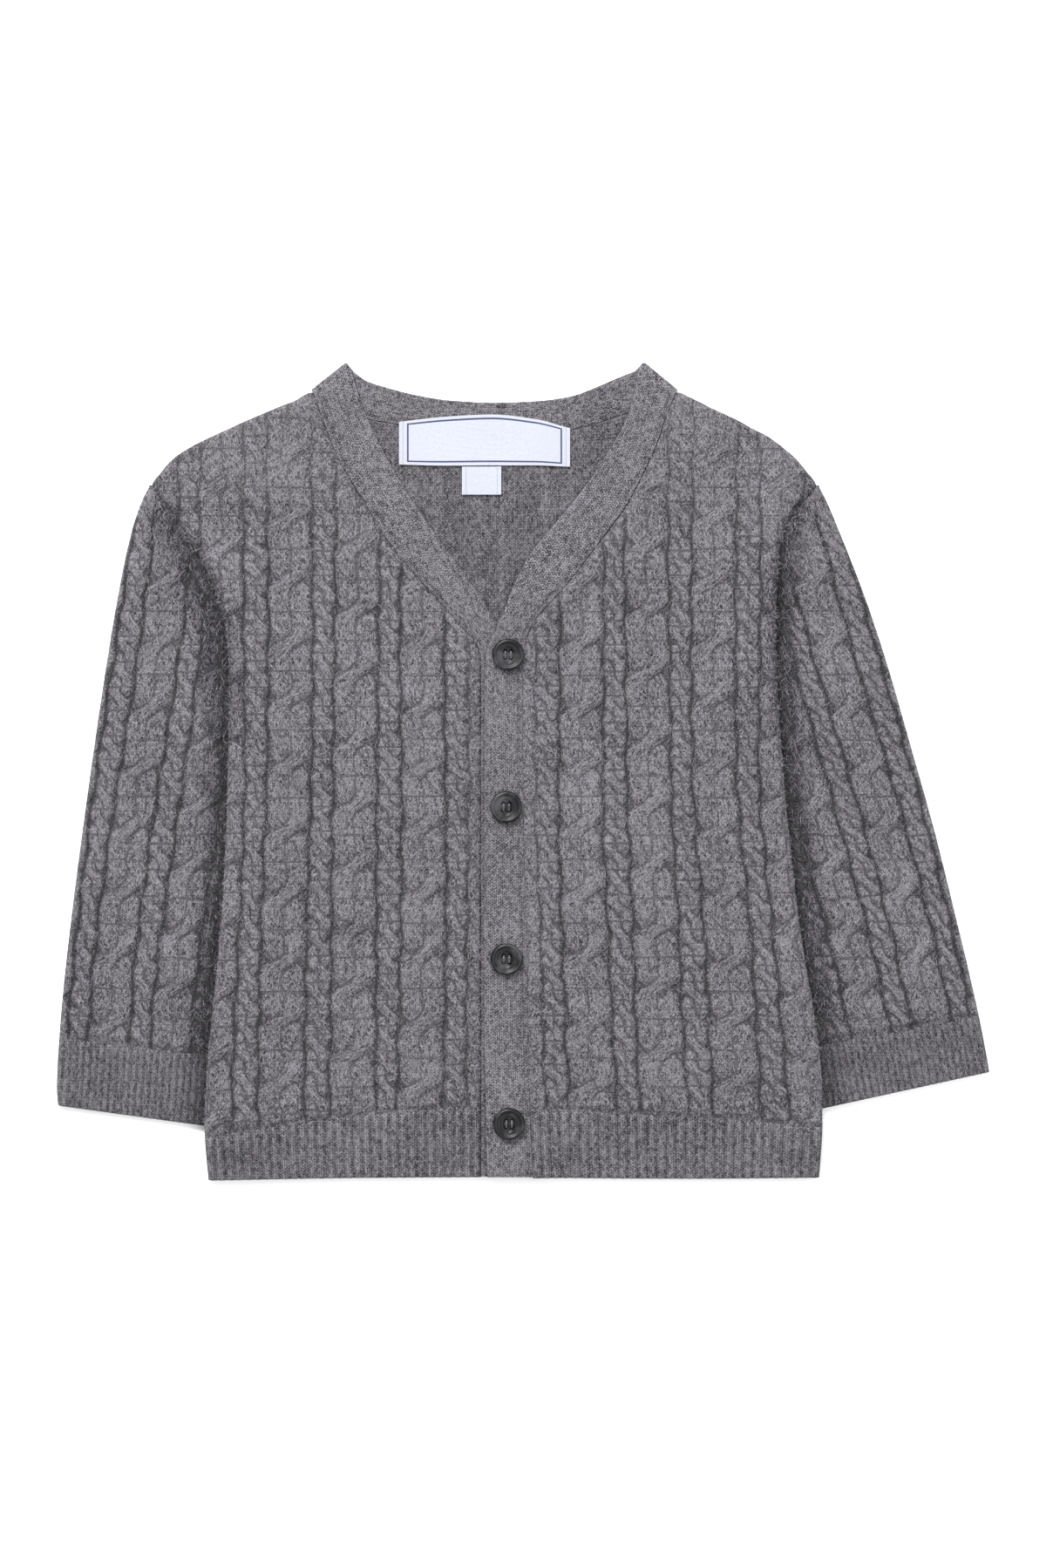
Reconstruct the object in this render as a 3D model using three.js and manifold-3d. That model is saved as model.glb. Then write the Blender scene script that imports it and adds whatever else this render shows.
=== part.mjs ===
// Baby cardigan lying flat, front side up, buttoned, with its sleeves folded in beside the body.
// Millimetres. +Y runs to the neck, +X to the wearer's left, +Z up from the surface it lies on.
// Origin: on that surface, in the middle of the outline.
import * as THREE from 'three';
import Module from 'manifold-3d';

// Cloth and seams
const WALL = 1.5;
const SEAM_GAP = 0.3;
const PILE = 2 * WALL + SEAM_GAP;
const LIFT = PILE + 0.6;
const EDGE_HEIGHT = 0.55;
const EDGE_INSET = 1.3;
const ROW_STEP = 4.5;

// Cables: a broad rope of crossing strands beside a slim one, over and over
const CABLE_REPEAT = 23.8;
const BROAD_START = 12.5;
const BROAD_WIDTH = 15.6;
const BROAD_CROSSING = 22.5;
const BROAD_HEIGHT = 1.05;
const SLIM_HEIGHT = 1.1;
const SLIM_SWAY = 0.9;
const SLEEVE_REPEAT = 22.5;
const SLEEVE_BROAD_START = 10.6;
const SLEEVE_BROAD_WIDTH = 14.6;

// Ribs
const HEM_COLUMNS = 60;
const HEM_RIB_HEIGHT = 0.7;
const CUFF_RIB_PITCH = 2.4;
const CUFF_RIB_HEIGHT = 0.5;

// Bands
const BAND_THICK = 1.6;
const UNDER_BAND_MID = PILE - WALL + BAND_THICK / 2;
const TOP_BAND_MID = UNDER_BAND_MID + BAND_THICK + 0.35;
const TOP_BAND_RISE = TOP_BAND_MID - UNDER_BAND_MID;
const RISE_REACH = 12;
const SHOULDER_MID = 3.0;

// Buttons, 18 line
const BUTTON_RADIUS = 5.7;
const BUTTON_THICK = 2.5;
const BUTTON_BASE = TOP_BAND_MID + BAND_THICK / 2 + SEAM_GAP;

const RIGHT = { name: 'right', sign: -1, column: 1 };
const LEFT = { name: 'left', sign: 1, column: 2 };

// Body outline, out from the middle: height, right side, left side
const BODY_EDGE = [
  [-147.0, 112.1, 105.2], [-138.0, 112.8, 105.7], [-126.0, 113.3, 106.2], [-107.0, 112.5, 105.9],
  [-93.0, 111.3, 104.3], [-69.0, 108.8, 100.3], [-45.0, 106.9, 96.9], [-14.0, 105.4, 93.5],
  [9.0, 104.8, 91.6], [32.0, 104.6, 90.2], [46.0, 105.2, 89.7], [60.0, 108.3, 89.8],
  [74.5, 114.5, 90.8], [83.4, 120.0, 92.4], [93.3, 127.0, 97.5], [101.5, 132.3, 104.3],
  [106.3, 129.1, 101.1], [111.6, 124.2, 96.6], [115.6, 118.0, 91.9], [119.3, 110.4, 86.6],
  [122.5, 103.5, 80.4], [125.9, 95.9, 74.2], [128.7, 89.3, 68.0], [131.8, 81.5, 61.8],
  [134.8, 75.4, 54.9],
];
// Where each front is joined to the band: height, right side, left side
const BAND_SEAM = [
  [-147.0, 15.3, 3.6], [-122.0, 15.3, 2.6], [-93.0, 15.3, 1.7], [-61.0, 15.3, 1.4],
  [-20.0, 15.3, 0.2], [30.0, 15.3, 0.0], [38.4, 15.4, 0.0], [45.0, 17.2, 0.8],
  [52.0, 22.9, 3.5], [58.0, 28.3, 8.4], [64.0, 33.8, 13.9], [70.0, 39.0, 18.8],
  [76.0, 44.0, 23.5], [85.6, 50.9, 30.8], [94.2, 56.2, 37.0], [108.0, 64.5, 44.2],
  [117.0, 68.7, 48.2], [125.0, 71.6, 50.8], [134.8, 75.2, 54.7],
];
// Neck seam of the back: height, right side, left side
const BACK_NECK = [
  [117.8, 10.0, -9.0], [118.9, 22.0, 5.0], [120.4, 31.5, 14.0], [122.8, 43.9, 24.0],
  [124.9, 56.0, 31.5], [127.7, 66.8, 40.0], [131.5, 71.6, 48.5], [134.8, 75.0, 54.5],
];
// Sleeve outline away from the body: height, right side, left side
const SLEEVE_OUTER = [
  [-124.0, 165.3, 167.8], [-113.0, 166.3, 166.8], [-95.0, 165.4, 163.8], [-76.3, 163.8, 159.8],
  [-51.5, 161.0, 153.9], [-20.5, 157.0, 146.2], [10.5, 152.7, 137.5], [35.3, 149.0, 130.4],
  [60.1, 144.9, 122.3], [84.9, 139.7, 112.7], [97.3, 135.4, 107.4], [101.0, 133.4, 105.4],
];
// Sleeve outline on the body side, armhole seam above the underarm: height, right side, left side
const SLEEVE_INNER = [
  [-132.0, 103.1, 105.8], [-121.0, 103.3, 104.6], [-100.0, 103.2, 100.6], [-82.5, 100.0, 94.4],
  [-51.5, 94.7, 84.2], [-14.3, 87.6, 73.6], [9.0, 83.9, 68.7], [27.6, 93.2, 74.6],
  [44.6, 101.8, 81.5], [60.0, 109.2, 88.6], [72.0, 114.6, 91.5], [82.5, 120.6, 93.2],
  [92.0, 127.0, 98.0], [101.0, 133.2, 105.2],
];
// Line that the sleeve cables follow: height, right side, left side
const SLEEVE_LINE = [
  [-124.0, 167.4, 169.2], [-76.0, 163.8, 159.8], [-20.5, 157.0, 146.2], [35.0, 149.0, 130.4],
  [101.0, 140.0, 112.0],
];
const UNDERARM = 9.0;
const NECK_LEVEL = 117.8;
const FOLD_INSET = 0.5;
const SLEEVE_TOP = 98.5;
// Heights of the seams that run across: distance from the middle, right side, left side
const HEM_SEAM = [
  [0.0, -119.2, -120.0], [30.0, -120.4, -121.8], [69.0, -123.9, -124.0], [113.0, -130.3, -127.2],
];
const HEM_END = [[0.0, -144.7, -145.0], [60.0, -145.1, -145.4], [113.0, -146.0, -144.8]];
const CUFF_SEAM = [[100.0, -103.4, -99.2], [168.0, -94.9, -86.7]];
const CUFF_END = [[100.0, -128.4, -121.8], [168.0, -119.0, -106.9]];

// Band from the right hem over both shoulders to the left hem, a row for each section:
// seam x and y, free edge x and y, height of the middle of the cloth
const BAND_UP_RIGHT = [
  [-15.1, -144.5, -1.2, -144.5, 2.6], [-15.1, -100.0, -1.2, -100.0, 2.6],
  [-15.1, -50.0, -1.2, -50.0, 2.6], [-15.1, 0.0, -1.2, 0.0, 2.6],
  [-15.1, 26.0, -1.2, 24.0, 2.6], [-15.1, 39.0, -1.6, 36.0, 2.6],
  [-16.9, 45.4, -5.2, 44.6, 2.6], [-22.4, 51.7, -10.6, 53.8, 2.6],
  [-29.8, 60.0, -18.4, 66.2, 2.6], [-38.6, 69.9, -28.3, 79.9, 2.6],
  [-48.2, 81.9, -37.6, 93.0, 2.6], [-57.8, 97.5, -46.3, 107.2, 2.6],
  [-66.7, 112.8, -53.0, 120.0, 2.65], [-70.8, 123.6, -57.6, 130.6, 2.8],
  [-73.7, 131.6, -60.6, 140.2, 3.0],
];
const BAND_FOLD_RIGHT = [-74.9, 134.9, -62.0, 144.1];
const BAND_ACROSS_BACK = [
  [-72.0, 132.6, -60.0, 141.8, 0.8], [-66.5, 128.4, -55.6, 138.8, 0.8],
  [-56.0, 125.3, -49.4, 136.8, 0.8], [-43.9, 123.2, -40.5, 134.4, 0.8],
  [-28.0, 120.1, -26.0, 132.0, 0.8], [-11.0, 118.4, -10.0, 131.2, 0.8],
  [6.0, 119.4, 5.0, 131.8, 0.8], [18.6, 121.8, 16.6, 133.4, 0.8],
  [32.6, 125.8, 26.6, 137.0, 0.8], [42.6, 129.6, 33.6, 140.0, 0.8],
  [51.2, 133.2, 39.6, 142.4, 0.8],
];
const BAND_FOLD_LEFT = [54.3, 134.9, 41.6, 144.3];
const BAND_DOWN_LEFT = [
  [53.2, 131.8, 40.6, 140.6, 3.0], [50.4, 125.0, 38.8, 131.8, 2.85],
  [47.8, 117.2, 36.1, 124.0, 2.7], [43.8, 108.2, 31.4, 115.5, 2.65],
  [36.6, 94.4, 24.2, 104.3, 2.7], [30.4, 85.8, 17.0, 94.8, 2.9],
  [23.2, 76.2, 9.6, 86.0, 3.25], [16.0, 66.8, 1.6, 75.8, 3.75],
  [10.0, 60.2, -4.0, 64.4, 4.2], [4.6, 54.2, -7.6, 54.8, 4.45],
  [1.2, 47.6, -11.0, 48.0, 4.55], [-0.1, 40.0, -13.2, 41.4, 4.55],
  [-0.2, 28.0, -13.8, 30.0, 4.55], [0.0, -20.0, -13.9, -20.0, 4.55],
  [1.2, -61.0, -14.0, -61.0, 4.55], [1.5, -93.0, -13.9, -93.0, 4.55],
  [2.4, -122.0, -13.4, -122.0, 4.55], [3.4, -144.6, -12.9, -144.6, 4.55],
];
// Band shape across: part of the width, part of the thickness
const BAND_SHAPE = [
  [0, 0.22], [0.07, 0.5], [0.93, 0.5], [1, 0.22],
  [1, -0.22], [0.93, -0.5], [0.07, -0.5], [0, -0.22],
];
const STRAIGHT_RUN = 30;
const FOLD_STEPS = 6;

const BUTTONS = [[-5.4, 41.1], [-6.1, -13.0], [-6.0, -67.0], [-5.1, -125.5]];

// Labels: x, upper edge, lower edge
const NECK_LABEL = [
  [-44.3, 124.2, 109.0], [-28.0, 126.0, 108.6], [-11.0, 126.8, 108.7], [4.0, 125.2, 108.7],
  [16.6, 121.9, 108.2],
];
const SIZE_LABEL = [[-21.9, 108.2, 98.3], [-7.9, 108.3, 98.3]];
const LABEL_BASE = 2.0;
const LABEL_THICK = 0.6;

const clamp = (value, low, high) => Math.min(high, Math.max(low, value));
const ease = (value) => {
  const t = clamp(value, 0, 1);
  return t * t * (3 - 2 * t);
};

// Smooth curve through a table's rows, read at a key in its first column
function along(table, column, key) {
  const last = table.length - 1;
  if (key <= table[0][0]) return table[0][column];
  if (key >= table[last][0]) return table[last][column];
  let i = 0;
  while (table[i + 1][0] < key) i += 1;
  const slope = (a, b) => (table[b][column] - table[a][column]) / (table[b][0] - table[a][0]);
  const width = table[i + 1][0] - table[i][0];
  const here = slope(i, i + 1);
  const limit = (other) => (other * here <= 0 ? 0 : (2 * other * here) / (other + here));
  const start = i > 0 ? limit(slope(i - 1, i)) : here;
  const end = i < last - 1 ? limit(slope(i + 1, i + 2)) : here;
  const t = (key - table[i][0]) / width;
  const bend = t * (1 - t) * width;
  return table[i][column] * (1 - t) + table[i + 1][column] * t
    + bend * ((start - here) * (1 - t) - (end - here) * t);
}

const bodyEdge = (side, y) => along(BODY_EDGE, side.column, y);
const bandSeam = (side, y) => along(BAND_SEAM, side.column, y);

// Height of the body over the sleeve that is tucked below its side
function lift(side, out, y) {
  const edge = bodyEdge(side, y);
  const tuck = Math.max(0, edge - along(SLEEVE_INNER, side.column, Math.max(y, -128)));
  const inward = ease((tuck + 19.5 - (edge - out)) / 18);
  const upper = ease((90 - y) / 28);
  const lower = ease((y + 149) / 20);
  return LIFT * inward * (y < UNDERARM ? 1 : upper) * lower;
}

// Rise of the left front to the upper of the two bands
function rise(side, out, y) {
  if (side === RIGHT) return 0;
  const fromSeam = out - bandSeam(side, y);
  return TOP_BAND_RISE * ease((96 - y) / 46) * ease(1 - fromSeam / RISE_REACH);
}

// Two strands that cross: part of the half width, crossings passed, +1 leaning to the wearer's left
function rope(part, crossings, lean) {
  const q = crossings - Math.floor(crossings);
  const centre = lean * 0.42 * (2 * ease(q) - 1);
  const swell = Math.sin(Math.PI * q);
  const strand = (middle, height) => {
    const d = (part - middle) / 0.64;
    return d * d < 1 ? height * Math.sqrt(1 - d * d) : 0;
  };
  return Math.max(strand(centre, 1 + 0.25 * swell), strand(-centre, 1 - 0.4 * swell));
}

// A closed body put together from points and triangles
class Skin {
  constructor() {
    this.points = [];
    this.keys = new Map();
    this.faces = [];
  }

  point(x, y, z) {
    const key = [x, y, z].map((v) => Math.round(v * 2000)).join(' ');
    if (!this.keys.has(key)) {
      this.keys.set(key, this.points.length);
      this.points.push([x, y, z]);
    }
    return this.keys.get(key);
  }

  face(a, b, c) {
    if (a !== b && b !== c && a !== c) this.faces.push([a, b, c]);
  }

  // Fills between rows of equally many points, the split along the higher pair
  sheet(rows) {
    for (let i = 0; i + 1 < rows.length; i += 1) {
      for (let j = 0; j + 1 < rows[i].length; j += 1) {
        const [a, b, c, d] = [rows[i][j], rows[i][j + 1], rows[i + 1][j + 1], rows[i + 1][j]];
        const level = (p) => this.points[p][2];
        if (level(b) + level(d) > level(a) + level(c) + 0.02) {
          this.face(a, b, d);
          this.face(b, c, d);
        } else {
          this.face(a, b, c);
          this.face(a, c, d);
        }
      }
    }
  }

  // Fills between two lines of points that run side by side; axis says which way they run
  zip(first, second, axis) {
    let i = 0;
    let j = 0;
    const at = (p) => this.points[p][axis];
    const ahead = at(first[first.length - 1]) > at(first[0]) ? 1 : -1;
    while (i + 1 < first.length || j + 1 < second.length) {
      const a = i + 1 < first.length ? ahead * at(first[i + 1]) : Infinity;
      const b = j + 1 < second.length ? ahead * at(second[j + 1]) : Infinity;
      if (a <= b) {
        this.face(first[i], first[i + 1], second[j]);
        i += 1;
      } else {
        this.face(first[i], second[j + 1], second[j]);
        j += 1;
      }
    }
  }

  fan(centre, ring) {
    for (let i = 0; i + 1 < ring.length; i += 1) this.face(centre, ring[i], ring[i + 1]);
  }

  // Turns all faces the same way, outward, and checks that the body is closed
  geometry(name) {
    const edges = new Map();
    const key = (a, b) => (a < b ? `${a} ${b}` : `${b} ${a}`);
    this.faces.forEach((face, index) => {
      for (let k = 0; k < 3; k += 1) {
        const id = key(face[k], face[(k + 1) % 3]);
        if (!edges.has(id)) edges.set(id, []);
        edges.get(id).push(index);
      }
    });
    edges.forEach((users, id) => {
      if (users.length !== 2) {
        const at = id.split(' ').map((p) => this.points[p].map((v) => v.toFixed(1)));
        throw new Error(`${name}: edge ${at[0]} to ${at[1]} has ${users.length} faces`);
      }
    });
    const seen = new Set([0]);
    const queue = [0];
    while (queue.length > 0) {
      const index = queue.pop();
      const face = this.faces[index];
      for (let k = 0; k < 3; k += 1) {
        const [a, b] = [face[k], face[(k + 1) % 3]];
        const other = edges.get(key(a, b)).find((user) => user !== index);
        if (!seen.has(other)) {
          const there = this.faces[other];
          const same = [0, 1, 2].some((m) => there[m] === a && there[(m + 1) % 3] === b);
          if (same) there.reverse();
          seen.add(other);
          queue.push(other);
        }
      }
    }
    if (seen.size !== this.faces.length) throw new Error(`${name}: more than one body`);
    let volume = 0;
    this.faces.forEach(([a, b, c]) => {
      const [p, q, r] = [a, b, c].map((i) => new THREE.Vector3(...this.points[i]));
      volume += p.dot(q.cross(r));
    });
    if (volume < 0) this.faces.forEach((face) => face.reverse());
    const geometry = new THREE.BufferGeometry();
    geometry.setAttribute('position', new THREE.Float32BufferAttribute(this.points.flat(), 3));
    geometry.setIndex(this.faces.flat());
    return geometry;
  }
}

// Evenly spaced heights from low to high, with some heights that must be met
function heights(low, high, step, met = []) {
  const marks = [low, ...met, high];
  const list = [];
  for (let m = 0; m + 1 < marks.length; m += 1) {
    const count = Math.max(1, Math.round((marks[m + 1] - marks[m]) / step));
    for (let k = 0; k < count; k += 1) list.push(marks[m] + ((marks[m + 1] - marks[m]) * k) / count);
  }
  list.push(high);
  return list;
}

// Where a row meets an outline: row(out) gives the height of the row, edge(y) the outline
function meet(row, edge, start) {
  let out = start;
  for (let k = 0; k < 12; k += 1) out = edge(row(out));
  return out;
}

// Points along a row between two outlines: the columns that lie between, the rest on the outlines
function spread(low, high, columns, snap) {
  const inset = Math.min(EDGE_INSET, (high - low) / 3);
  const [first, last] = [low + inset, high - inset];
  const between = columns.map((out) => {
    if (out < first + snap) return first;
    if (out > last - snap) return last;
    return out;
  });
  return [low, first, ...between, last, high];
}

// Rows of a front or the back above the hem: they follow the hem seam at first, then run level
function bodyRow(side, y) {
  const start = -119.2;
  const follow = ease(1 - (y - start) / 70);
  return (out) => y + follow * (along(HEM_SEAM, side.column, Math.abs(out)) - start);
}

const BODY_ROWS = heights(-119.2, 133.3, ROW_STEP, [UNDERARM, NECK_LEVEL]);
const COARSE_ROWS = [
  ...heights(-119.2, 60, 12.5, [UNDERARM]), ...heights(60, 133.3, 9, [NECK_LEVEL]).slice(1),
];
const NECK_ROWS = [NECK_LEVEL, 118.9, 120.4, 122.8, 124.9, 127.7, 130.4, 133.3];

// Points out from the side edge that carry the lift, the same for the front and the back
function liftPoints(side, row, sideEdge, seam) {
  const tuck = Math.max(0, sideEdge - along(SLEEVE_INNER, side.column, Math.max(row(sideEdge), -128)));
  const scale = Math.min(1, (sideEdge - seam) / 60);
  const inward = [0, tuck + 1.5, tuck + 6, tuck + 10.5, tuck + 15, tuck + 19.5];
  return inward.map((d) => sideEdge - d * scale).reverse();
}

// Cable columns of a front out from the band seam, with the kind of each
function cableColumns(start, repeat, broadWidth, reach) {
  const columns = [];
  for (let base = start - repeat; base < reach; base += repeat) {
    const slimWidth = repeat - broadWidth;
    columns.push({ at: base - slimWidth, kind: 'groove' });
    columns.push({ at: base - slimWidth / 2, kind: 'slim' });
    columns.push({ at: base, kind: 'groove' });
    [0.2, 0.5, 0.8].forEach((part) => {
      columns.push({ at: base + part * broadWidth, kind: 'broad', part: 2 * part - 1, base });
    });
  }
  return columns.filter((column) => column.at > 3);
}

function cableHeight(column, y, rowIndex, lean) {
  if (column.kind === 'groove') return 0;
  if (column.kind === 'slim') return SLIM_HEIGHT;
  const phase = y / BROAD_CROSSING + (Math.round(column.base / CABLE_REPEAT) % 2) * 0.45;
  return BROAD_HEIGHT * rope(column.part * lean, phase, 1);
}

const FRONT_COLUMNS = cableColumns(BROAD_START, CABLE_REPEAT, BROAD_WIDTH, 108);
const SLEEVE_COLUMNS = cableColumns(SLEEVE_BROAD_START, SLEEVE_REPEAT, SLEEVE_BROAD_WIDTH, 80);

function front(side) {
  const skin = new Skin();
  const outer = BODY_ROWS.map((y, rowIndex) => {
    const row = bodyRow(side, y);
    const low = meet(row, (h) => bandSeam(side, h) + SEAM_GAP / 2, 20);
    const high = meet(row, (h) => bodyEdge(side, h), 100);
    const widen = 1 + (side === RIGHT ? 0.045 : 0.085) * clamp((-5 - y) / 108, 0, 1);
    const from = bandSeam(side, Math.min(y, 30));
    const sway = SLIM_SWAY * (rowIndex % 2 === 0 ? 1 : -1);
    const list = FRONT_COLUMNS.map((c) => from + (c.at + (c.kind === 'slim' ? sway : 0)) * widen);
    return spread(low, high, list, 1.2).map((out, index, all) => {
      const h = row(out);
      const base = PILE + lift(side, out, h) + rise(side, out, h);
      if (index === 0) return skin.point(side.sign * out, h, base - 0.3);
      if (index === all.length - 1) return skin.point(side.sign * out, h, base - WALL + EDGE_HEIGHT);
      const column = FRONT_COLUMNS[index - 2];
      const fade = clamp((Math.min(high - out, out - low) - EDGE_INSET) / 2, 0, 1);
      const relief = column ? fade * cableHeight(column, h, rowIndex, side.sign) : 0;
      return skin.point(side.sign * out, h, base + relief);
    });
  });
  const inner = COARSE_ROWS.map((y) => {
    const row = bodyRow(side, y);
    const low = meet(row, (h) => bandSeam(side, h) + SEAM_GAP / 2, 20);
    const high = meet(row, (h) => bodyEdge(side, h), 100);
    const carry = liftPoints(side, row, high, low);
    const near = [0, 4, 8, RISE_REACH].map((d) => low + d * Math.min(1, (carry[0] - low) / 14));
    return [...near, ...carry].map((out) => {
      const h = row(out);
      return skin.point(side.sign * out, h, PILE - WALL + lift(side, out, h) + rise(side, out, h));
    });
  });
  closeSlab(skin, outer, inner);
  return skin.geometry(`front_${side.name}`);
}

// Joins an upper and a lower set of rows around all four sides
function closeSlab(skin, upper, lower) {
  skin.sheet(upper);
  skin.sheet(lower);
  const tidy = (line) => line.filter((p, i) => i === 0 || p !== line[i - 1]);
  const ends = (rows, pick) => tidy(rows.map(pick));
  skin.zip(ends(upper, (r) => r[0]), ends(lower, (r) => r[0]), 1);
  skin.zip(ends(upper, (r) => r[r.length - 1]), ends(lower, (r) => r[r.length - 1]), 1);
  skin.zip(tidy(upper[0]), tidy(lower[0]), 0);
  skin.zip(tidy(upper[upper.length - 1]), tidy(lower[lower.length - 1]), 0);
}

// The back: level rows up to its neck, above that a piece at each shoulder
function back() {
  const skin = new Skin();
  const layer = (height) => {
    const place = (side, row, out) => skin.point(
      side.sign * out, row(out), height + lift(side, out, row(out)),
    );
    const half = (side, y) => {
      const row = bodyRow(side, y);
      const edge = meet(row, (h) => bodyEdge(side, h), 100);
      const seam = meet(row, (h) => bandSeam(side, h), 20);
      const neck = y >= NECK_LEVEL ? Math.min(along(BACK_NECK, side.column, y), edge - 1.5) : -1e3;
      const middle = seam + 14 * Math.min(1, (edge - seam) / 60);
      const outs = [middle, ...liftPoints(side, row, edge, seam)]
        .map((out) => Math.max(out, neck + SEAM_GAP));
      if (y >= NECK_LEVEL) outs.unshift(neck);
      else outs.unshift(side === RIGHT ? 10 : -9);
      return outs.map((out) => place(side, row, out));
    };
    const low = COARSE_ROWS.filter((y) => y <= NECK_LEVEL)
      .map((y) => [...half(RIGHT, y).reverse(), ...half(LEFT, y)]);
    const high = (side) => NECK_ROWS.map((y) => half(side, y));
    return { low, right: high(RIGHT), left: high(LEFT) };
  };
  const [upper, lower] = [layer(WALL), layer(0)];
  [upper, lower].forEach((part) => {
    skin.sheet(part.low);
    skin.sheet(part.right);
    skin.sheet(part.left);
  });
  const wall = (pick) => skin.sheet([pick(upper), pick(lower)]);
  wall((part) => part.low[0]);
  wall((part) => part.low.map((row) => row[0]));
  wall((part) => part.low.map((row) => row[row.length - 1]));
  ['right', 'left'].forEach((name) => {
    wall((part) => part[name].map((row) => row[0]));
    wall((part) => part[name].map((row) => row[row.length - 1]));
    wall((part) => part[name][part[name].length - 1]);
  });
  wall((part) => [part.right[0][0], part.left[0][0]]);
  return skin.geometry('back');
}

// Rows between two seams that run across, share by share
function betweenRows(lowTable, highTable, side, count, gapLow, gapHigh) {
  return Array.from({ length: count + 1 }, (_, i) => (out) => {
    const low = along(lowTable, side.column, Math.abs(out)) + gapLow;
    const high = along(highTable, side.column, Math.abs(out)) - gapHigh;
    return low + ((high - low) * i) / count;
  });
}

function hemRib(side) {
  const skin = new Skin();
  const rows = betweenRows(HEM_END, HEM_SEAM, side, 4, 0, SEAM_GAP + 0.25);
  const bounds = (row) => [
    meet(row, (h) => bandSeam(side, h) + SEAM_GAP / 2, 20),
    meet(row, (h) => bodyEdge(side, h), 100),
  ];
  const base = (out, h) => PILE + lift(side, out, h) + rise(side, out, h);
  const upper = rows.map((row, rowIndex) => {
    const [low, high] = bounds(row);
    return Array.from({ length: HEM_COLUMNS + 1 }, (_, j) => {
      const out = low + ((high - low) * j) / HEM_COLUMNS;
      const edge = j === 0 || j === HEM_COLUMNS;
      const soft = rowIndex === 0 ? -0.5 : 0;
      const rib = !edge && j % 2 === 1 ? HEM_RIB_HEIGHT : 0;
      const drop = edge ? WALL - EDGE_HEIGHT - (j === 0 ? 0.5 : 0) : 0;
      return skin.point(side.sign * out, row(out), base(out, row(out)) + rib + soft - drop);
    });
  });
  const lower = [rows[0], rows[2], rows[4]].map((row) => {
    const [low, high] = bounds(row);
    const carry = liftPoints(side, row, high, low);
    const near = [0, 4, 8, RISE_REACH].map((d) => low + d);
    return [...near, ...carry].map((out) => skin.point(
      side.sign * out, row(out), base(out, row(out)) - WALL,
    ));
  });
  closeSlab(skin, upper, lower);
  return skin.geometry(`hem_rib_front_${side.name}`);
}

function hemRibBack() {
  const skin = new Skin();
  const [upper, lower] = [WALL, 0].map((height) => [0, 2, 4].map((index) => {
    const half = (side) => {
      const row = betweenRows(HEM_END, HEM_SEAM, side, 4, 0, SEAM_GAP + 0.25)[index];
      const edge = meet(row, (h) => bodyEdge(side, h), 100);
      const seam = meet(row, (h) => bandSeam(side, h), 20);
      const middle = [side === RIGHT ? 10 : -9, seam + 14];
      return [...middle, ...liftPoints(side, row, edge, seam)].map((out) => skin.point(
        side.sign * out, row(out), height + lift(side, out, row(out)),
      ));
    };
    return [...half(RIGHT).reverse(), ...half(LEFT)];
  }));
  closeSlab(skin, upper, lower);
  return skin.geometry('hem_rib_back');
}

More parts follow.
